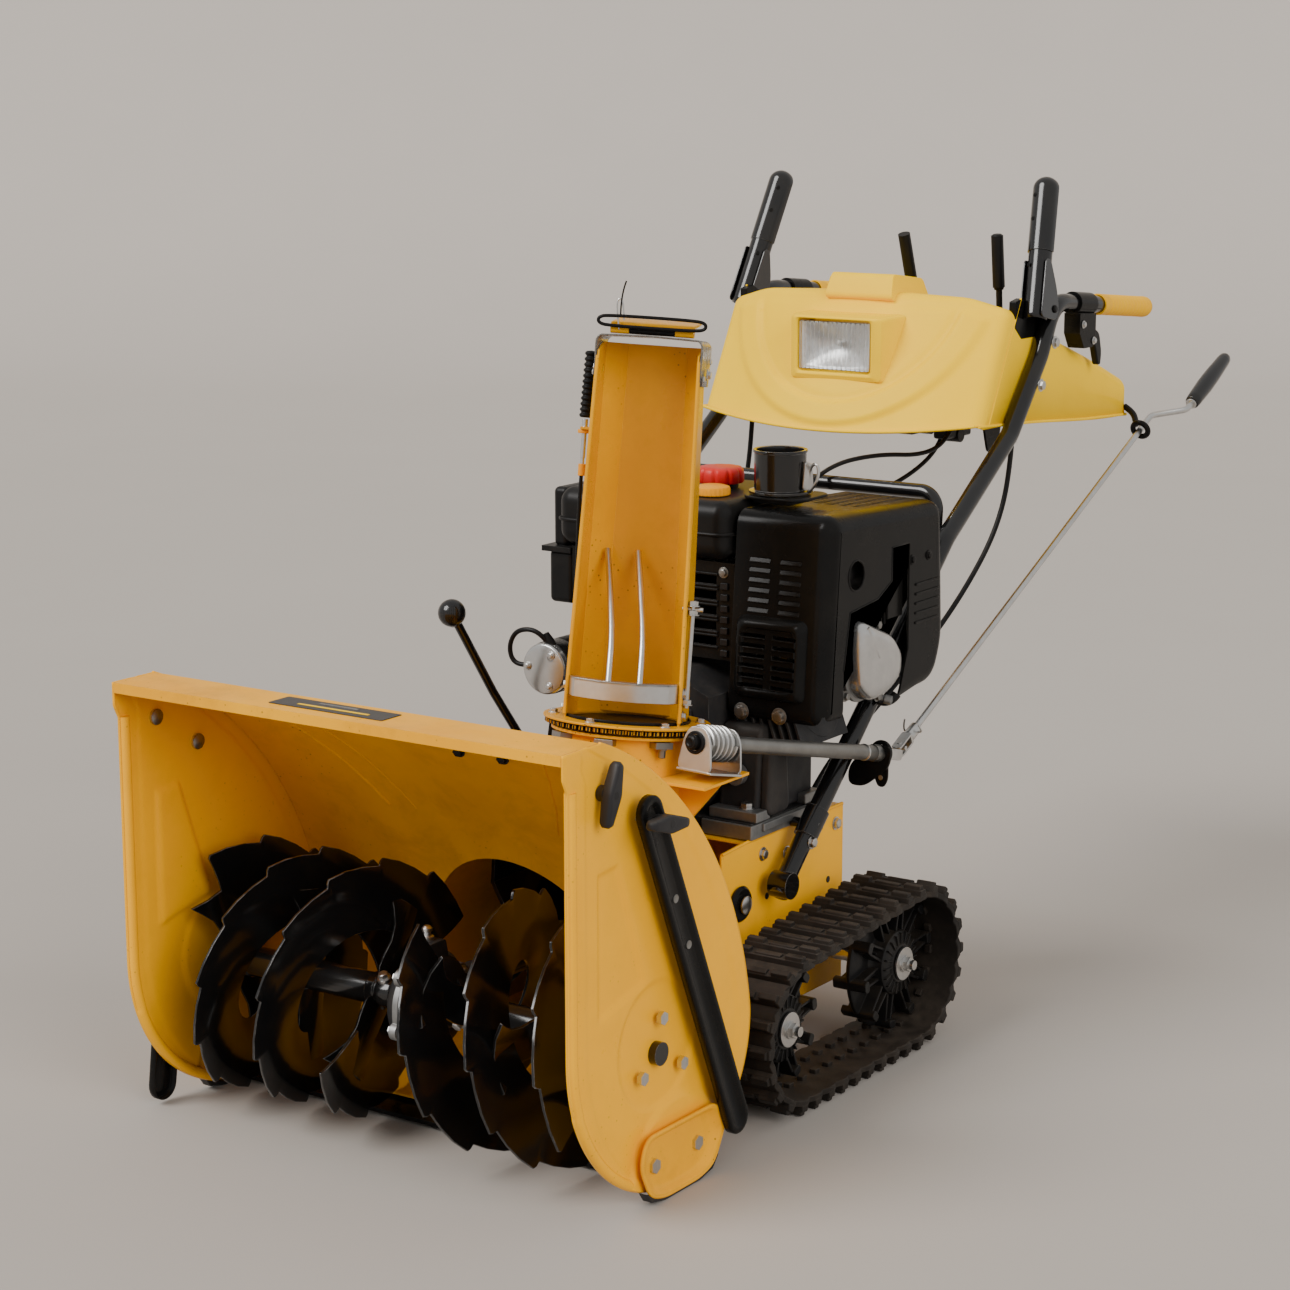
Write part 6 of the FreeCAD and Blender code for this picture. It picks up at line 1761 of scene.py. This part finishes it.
def cylinder():
    """The valve cover with its flange and bolts, and the spark plug."""
    outline = rounded(VALVE, 18, 7)
    centre = Vector((852, 560))
    rows = []
    for reach, x in ((1.0, 268), (1.0, 280), (0.985, 287), (0.94, 293), (0.86, 297), (0.66, 299.4),
                     (0.35, 300)):
        rows.append([Vector((x, *(centre + (Vector(p) - centre) * reach))) for p in outline])
    dome = cap_ends(grid(rows, closed_columns=True))
    piece("valve_cover_dome", dome, "bright_alloy", "chassis", ("valve_cover",), smooth=50)
    flange = slab([tuple(centre + (Vector(p) - centre) * 1.09) for p in outline], 262, 269.5, "x")
    piece("valve_cover_flange", flange, "alloy", "chassis", bevel=1.4)
    fold = [(295.5, 812, 616), (297.5, 822, 590), (299.2, 840, 570)]
    pipe("valve_cover_fold", fold, 2.6, "bright_alloy", "chassis")
    corners = ((795, 518), (793, 618), (882, 606), (926, 546), (884, 502))
    spots = [((269.5, y, z), (1, 0, 0)) for y, z in corners]
    bolts("valve_cover_bolts", spots, 6, 6, "zinc_dull")
    plug = turned([(0, 0), (9, 0), (9, 6), (5, 8), (5, 22), (7, 24), (7, 34), (0, 36)], 24)
    plug.transform(along((250, 896, 500), (0.8, 0.3, -0.2)))
    piece("spark_plug", plug, "alloy", "chassis")
    elbow = [(262, 902, 492), (276, 910, 486), (282, 920, 500)]
    pipe("spark_plug_cap", elbow, 7, "plastic", "chassis")


def fluted(radius, z, angle, dent):
    """A point of a turned profile, pressed in by the depth of a flute."""
    reach = radius - dent
    return Vector((reach * math.cos(angle), reach * math.sin(angle), z))


def tank():
    """The tank's seam, the fuel cap and the oil cap."""
    seam = [(x, y, 742) for x, y in rounded([(-172.6, 715.4), (120.6, 715.4), (120.6, 946.6),
                                               (-172.6, 946.6)], 24, 6)]
    pipe("tank_seam", seam, 2.6, "plastic", "chassis", smooth=False, closed=True)
    profile = [(0, 797), (27, 797), (27, 801), (31, 802)]
    cap_profile = [(0, 818.4), (20, 818.6), (30, 817.5), (33.5, 814), (34.5, 808), (34.5, 798), (33, 795.4),
                   (0, 795.4)]
    rows = []
    for k in range(120):
        angle = 2 * math.pi * k / 120
        dent = 2.6 * max(0.0, math.cos(10 * angle)) ** 3
        rows.append([fluted(r, z, angle, dent * (r > 25)) for r, z in cap_profile])
    cap = grid(rows, closed_rows=True)
    bmesh.ops.remove_doubles(cap, verts=cap.verts, dist=1e-4)
    bmesh.ops.recalc_face_normals(cap, faces=cap.faces)
    cap.transform(Matrix.Translation((28, 846, 0)))
    piece("fuel_cap_top", cap, "red", "tank_cap", ("fuel_cap",), smooth=42)
    ring = turned(profile + [(31, 804), (0, 804)], 40)
    ring.transform(Matrix.Translation((28, 846, -2)))
    piece("tank_neck_ring", ring, "plastic", "chassis")
    rows = []
    for k in range(96):
        angle = 2 * math.pi * k / 96
        dent = 1.0 * (k % 4 in (0, 1))
        rows.append([fluted(r, z, angle, dent * (r > 20))
                     for r, z in ((0, 803), (18, 802.6), (25, 800.5), (26, 797), (26, 790), (24.5, 788.6),
                                  (0, 788.6))])
    oil = grid(rows, closed_rows=True)
    bmesh.ops.remove_doubles(oil, verts=oil.verts, dist=1e-4)
    bmesh.ops.recalc_face_normals(oil, faces=oil.faces)
    oil.transform(Matrix.Translation((62, 772, 0)))
    piece("oil_cap", oil, "amber", "chassis", smooth=42)
    neck = turned([(0, 770), (22, 770), (20, 789), (0, 789)], 32)
    neck.transform(Matrix.Translation((62, 772, 0)))
    piece("oil_cap_neck", neck, "plastic", "chassis")


def shroud():
    """The shroud's slots, squares and screws, and the recoil starter's vents and grip."""
    bars = []
    for row in range(5):
        z = 576 + 22 * row
        bars.append(block((33, 735.5, z), (95, 738.5, z + 3)))
        bars.append(block((33, 735.5, z + 17), (95, 738.5, z + 20)))
    piece("shroud_slot_lips", merged(bars), "plastic", "chassis", bevel=0.8)
    # Near-black raised squares: painted shade in the shroud's square openings.
    squares = []
    for k in range(7):
        squares.append(block((100, 734.6, 566 + 16 * k), (112, 738.4, 575 + 16 * k)))
    piece("shroud_squares", merged(squares), "dark_plate_and_hole_shade", "chassis", bevel=0.6)
    heads = [((-140, 738, 684), (0, -1, 0)), ((104, 738, 686), (0, -1, 0)), ((-140, 738, 572), (0, -1, 0))]
    bolts("shroud_screws", heads, 6, 5, "zinc_dull")
    # Near-black spokes on the starter's face: painted shade in its vent openings.
    fan = []
    for k in range(20):
        spoke = slab(rounded([(20, -2), (82, -3.5), (82, 3.5), (20, 2)], 1.5, 2), 970.2, 972.4, "y")
        spoke.transform(Matrix.Translation((0, 0, 445)) @ Matrix.Rotation(math.radians(18 * k), 4, "Y"))
        fan.append(spoke)
    piece("recoil_vents", merged(fan), "dark_plate_and_hole_shade", "chassis", bevel=0.4)
    handle = turned([(0, -34), (6, -34), (8.4, -31), (8.8, -10), (8.0, 0), (8.8, 10), (8.4, 31), (6, 34),
                     (0, 34)], 28)
    handle.transform(Matrix.Translation((0, 984, 495)) @ Matrix.Rotation(math.pi / 2, 4, "Y"))
    piece("recoil_grip", handle, "plastic", "recoil", bevel=0.4)


def starter():
    """The starter's end face, casing, boot, screws and cable."""
    face = turned([(0, 0), (30, 0), (36, 1.5), (38, 4), (38, 12), (0, 12)], 56)
    face.transform(along((-178, 690, 522), (0, 1, 0)))
    piece("starter_face", face, "bright_alloy", "chassis", bevel=0.8)
    heads = []
    for angle in (55, 175, 295):
        spot = (-178 + 27 * math.cos(math.radians(angle)), 690, 522 + 27 * math.sin(math.radians(angle)))
        heads.append((spot, (0, -1, 0)))
    bolts("starter_screws", heads, 4.6, 3.6)
    loop = [(-176, 700, 560), (-182, 694, 572), (-200, 690, 580), (-226, 690, 574), (-240, 692, 552),
            (-238, 694, 530), (-224, 696, 522), (-212, 698, 524)]
    pipe("starter_cable", loop, 3.6, "plastic", "chassis")
    boot = turned([(0, 0), (8, 0), (7, 8), (4, 20), (0, 20)], 24)
    boot.transform(along((-172, 704, 556), (-0.4, -0.2, 1)))
    piece("starter_boot", boot, "plastic", "chassis")
    casing = turned([(36, 0), (39, 2), (39, 30), (38, 32), (39, 34), (39, 104), (37, 108)], 56)
    casing.transform(along((-178, 702, 522), (0, 1, 0)))
    piece("starter_casing", casing, "satin_black", "chassis", thick=1.0)


def crankcase():
    """Ribs, feet, side casting, boss and plugs of the crankcase."""
    ribs = []
    for x in (-60, -20, 20, 60, 92):
        ribs.append(block((x - 2, 668, 352), (x + 2, 673, 500)))
    piece("crankcase_ribs", merged(ribs), "cast_dark", "chassis", bevel=1.2)
    feet = [block((120, 676, 349), (200, 712, 364)), block((120, 806, 349), (200, 850, 364)),
            block((186, 690, 335), (204, 836, 347))]
    piece("engine_feet", merged(feet), "alloy", "chassis", bevel=2.0, segments=3)
    bolts("engine_foot_bolts", [((172, 694, 364), (0, 0, 1)), ((172, 828, 364), (0, 0, 1))], 9, 8)
    faces = [block((116, 663, 327), (199, 668.4, 348)), block((195.2, 664, 327), (200, 872, 348))]
    piece("engine_base_faces", merged(faces), "alloy", "chassis", bevel=1.5)
    casting = [slab(rounded([(694, 349), (846, 349), (846, 474), (706, 482)], 16, 4), 122, 188, "x"),
               slab(rounded([(700, 352), (760, 352), (752, 452), (708, 452)], 16, 4), 186, 204, "x")]
    piece("crankcase_side", merged(casting), "cast_dark", "chassis", bevel=7.0, segments=3)
    ring = turned([(9, 0), (15, 0), (15, 14), (9, 14)], 28)
    ring.transform(along((158, 696, 412), (0, -1, 0)))
    piece("crankcase_boss", ring, "alloy", "chassis", bevel=1.0)
    plug = turned([(0, 0), (16, 0), (16, 6), (10, 8), (10, 14), (0, 14)], 28)
    plug.transform(along((122, 712, 402), (1, -0.3, 0)))
    piece("oil_plug", plug, "cast_dark", "chassis", bevel=0.8)
    boss = turned([(0, 0), (24, 0), (22, 10), (14, 12), (0, 12)], 32)
    boss.transform(along((150, 740, 428), (0.9, -0.4, 0)))
    piece("governor_boss", boss, "cast_dark", "chassis", bevel=1.0)


# ---------------------------------------------------------------- small parts

def frame_details():
    """Bolts, belt tensioner, hems and holes of the frame box."""
    bolts("frame_bolts", [((195, 764, 287), (1, 0, 0)), ((195, 900, 300), (1, 0, 0)),
                          ((195, 700, 300), (1, 0, 0))], 7.5, 6, both=True)
    disc = turned([(0, 0), (20, 0), (24, 2), (26, 6), (22, 10), (10, 10), (9, 14), (0, 14)], 36)
    disc.transform(along((194, 637, 243), (1, 0, 0)))
    ring = turned([(0, 13), (13, 13), (13, 16), (8, 18), (0, 18)], 28)
    ring.transform(along((194, 637, 243), (1, 0, 0)))
    piece("tensioner", merged([disc, copy_of(disc, MIRROR)]), "satin_black", "chassis",
          bevel=0.8)
    piece("tensioner_hub", merged([ring, copy_of(ring, MIRROR)]), "zinc", "chassis", bevel=0.6)
    for side in (1, -1):
        line = [(side * 194, 596, 321.5), (side * 194, 655, 325.5), (side * 194, 920, 325.5)]
        pipe("frame_hem_%d" % (side + 1), line, 2.6, "yellow_used", "chassis", smooth=False)
    # Near-black discs: painted shade in the frame's holes.
    holes = []
    for y, z in ((712, 236), (880, 220), (820, 300)):
        dot = turned([(0, 0), (5, 0), (5, 0.5), (0, 0.5)], 20)
        dot.transform(along((195.1, y, z), (1, 0, 0)))
        holes += [dot, copy_of(dot, MIRROR)]
    piece("frame_holes", merged(holes), "dark_plate_and_hole_shade", "chassis")


def knob(name, y, z, turn_deg, base, body, node, mirrored):
    """A lozenge-winged knob with a round recess in its middle."""
    rows = []
    outline = rounded([(-40, -5), (0, -12), (40, -5), (40, 5), (0, 12), (-40, 5)], 7, 4)
    section = ((0.72, 9.4), (0.92, 10.2), (1.0, 13), (1.0, 20), (0.93, 23.6), (0.74, 24.8), (0.42, 24.9))
    for reach, x in section:
        rows.append([Vector((base + x, p[0] * reach, p[1] * (reach * 0.5 + 0.5))) for p in outline])
    wing = cap_ends(grid(rows, closed_columns=True))
    neck = turned([(0, 0), (9.5, 0), (10, 1), (10, 8), (12, 11), (0, 11)], 32)
    neck.transform(along((base, 0, 0), (1, 0, 0)))
    whole = merged([wing, neck])
    turn = MIRROR if mirrored else Matrix.Identity(4)
    place = turn @ Matrix.Translation((0, y, z)) @ Matrix.Rotation(math.radians(turn_deg), 4, "X")
    piece(name, whole, "graphite", body, (node,), smooth=50, place=place)
    well = turned([(0, 0), (5.4, 0), (6.6, 0.2), (7.6, 0), (7.6, -0.6), (0, -0.6)], 28)
    well.transform(along((base + 24.8, 0, 0), (1, 0, 0)))
    # A near-black disc at the bottom of the recess: painted shade in the well.
    dark = turned([(0, 0), (5.2, 0), (5.2, 0.3), (0, 0.3)], 28)
    dark.transform(along((base + 24.7, 0, 0), (1, 0, 0)))
    piece(name + "_ring", well, "graphite", body, place=place)
    piece(name + "_well_shade", dark, "dark_plate_and_hole_shade", body, place=place)


def knobs():
    """The clamp knobs of the drift cutters and the front knobs."""
    for side, short, mirrored in (("left", "l", False), ("right", "r", True)):
        knob("clamp_knob_wing_" + side, 150, 498, -8, 388.5, "knob_" + short, "clamp_knob_" + side, mirrored)
        knob("front_knob_wing_" + side, 73, 546, 72, 360.5, "front_knob_" + short, "front_knob_" + side,
             mirrored)


def drift_cutters():
    """The two drift cutter bars and their holes."""
    for side, short, rest, turn in (("left", "l", -66.3, Matrix.Identity(4)), ("right", "r", -97.5, MIRROR)):
        rows = []
        stations = []
        for k in range(13):
            angle = math.radians(90 + 180 * k / 12)
            stations.append((-12 + 22 * math.cos(angle), 22 * math.sin(angle)))
        outer = [(474 + 22 * math.cos(a), 22 * math.sin(a))
                 for a in [math.radians(-90 + 180 * k / 12) for k in range(13)]]
        outline = stations + outer
        section = ((1, 377.0), (1, 386.0), (0.945, 387.6), (0.836, 388.0), (0.62, 388.0), (0.45, 385.0))
        for share, x in section:
            ring = []
            for u, v in outline:
                middle = min(474.0, max(-12.0, u))
                ring.append(Vector((x, middle + (u - middle) * share, v * share)))
            rows.append(ring)
        shell = grid(rows, closed_columns=True)
        bmesh.ops.holes_fill(shell, edges=[e for e in shell.edges if e.is_boundary
                                           and e.verts[0].co.x > 384], sides=0)
        bmesh.ops.recalc_face_normals(shell, faces=shell.faces)
        place = turn @ Matrix.Translation((0, 150, 498)) @ Matrix.Rotation(math.radians(rest), 4, "X")
        piece("drift_bar_" + side, shell, "satin_black", "drift_" + short,
              ("drift_cutter_" + side,), smooth=44, thick=2.2, place=place)
        dots = []
        for y in (118, 190):
            dot = turned([(0, 0), (4.4, 0), (5.2, 0.4), (5.6, 0), (5.6, -0.5), (0, -0.5)], 20)
            dot.transform(along((385.4, y, 0), (1, 0, 0)))
            dots.append(dot)
        piece("drift_holes_" + side, merged(dots), "zinc_dull", "drift_" + short, place=place)


def height_lever():
    """The ball knob on the height lever."""
    ball = bmesh.new()
    bmesh.ops.create_uvsphere(ball, u_segments=40, v_segments=24, radius=20)
    ball.transform(Matrix.Translation((-234, 550, 622)))
    collar = turned([(0, 0), (8, 0), (9, 2), (9, 8), (0, 10)], 24)
    collar.transform(along((-234, 556, 604), (0, -0.35, 1)))
    piece("height_ball", merged([ball, collar]), "plastic", "height_control", smooth=60)


def cables():
    """The four control cables, held at the dash and at the machine, and the drive cables' metal ends."""
    left = [(237, 1356, 900), (237, 1352, 800), (234, 1322, 690), (216, 1240, 590), (190, 1140, 500),
            (160, 1040, 420), (130, 975, 362), (120, 930, 300)]
    right = [(-x, y, z) for x, y, z in left]
    shift = [(100, 1400, 846), (96, 1386, 800), (84, 1330, 760), (60, 1230, 730), (20, 1120, 700),
             (0, 1040, 640), (0, 990, 600)]
    choke = [(128, 1370, 846), (128, 1350, 812), (118, 1290, 790), (84, 1200, 800), (50, 1110, 790),
             (40, 1010, 740), (40, 960, 690)]
    for name, line, radius in (("drive_cable_left", left, 4.0), ("drive_cable_right", right, 4.0),
                               ("shift_cable", shift, 3.5), ("throttle_cable", choke, 3.5)):
        obj = pipe(name, line, radius, "plastic", "chassis", ("control_cables",))
        curve_length(obj)
    ends = []
    for side in (1, -1):
        sleeve = turned([(4.2, 0), (5.4, 0), (5.4, 46), (4.6, 50), (4.2, 50)], 24)
        sleeve.transform(along((side * 237, 1353.5, 812), (0, 0.06, 1)))
        ends.append(sleeve)
    piece("cable_ends", merged(ends), "zinc", "chassis", bevel=0.4)


def curve_length(obj):
    """The length of a curve's centre line, in metres."""
    bare = obj.data.copy()
    bare.bevel_depth = 0
    carrier = bpy.data.objects.new("bare", bare)
    mesh = bpy.data.meshes.new_from_object(carrier)
    places = [vertex.co for vertex in mesh.vertices]
    total = sum((places[edge.vertices[0]] - places[edge.vertices[1]]).length for edge in mesh.edges)
    bpy.data.meshes.remove(mesh)
    bpy.data.objects.remove(carrier)
    bpy.data.curves.remove(bare)
    return total


BUILDERS = [side_plates, shell_ridges, lip_plate, skid_shoes, auger, gearbox, tracks, wheels, console,
            clutch_levers, grips, triggers, dash_levers, chute, chute_guard, deflector, deflector_control,
            worm, worm_bracket, universal_joint, crank, engine_cover, cover_panel, cover_fittings, cover_top,
            cylinder, tank, shroud, starter, crankcase, frame_details, knobs, drift_cutters, height_lever,
            cables]


def main():
    """Builds everything."""
    finish_cad()
    for make in BUILDERS:
        make()
    make_camera()
    make_studio()


main()
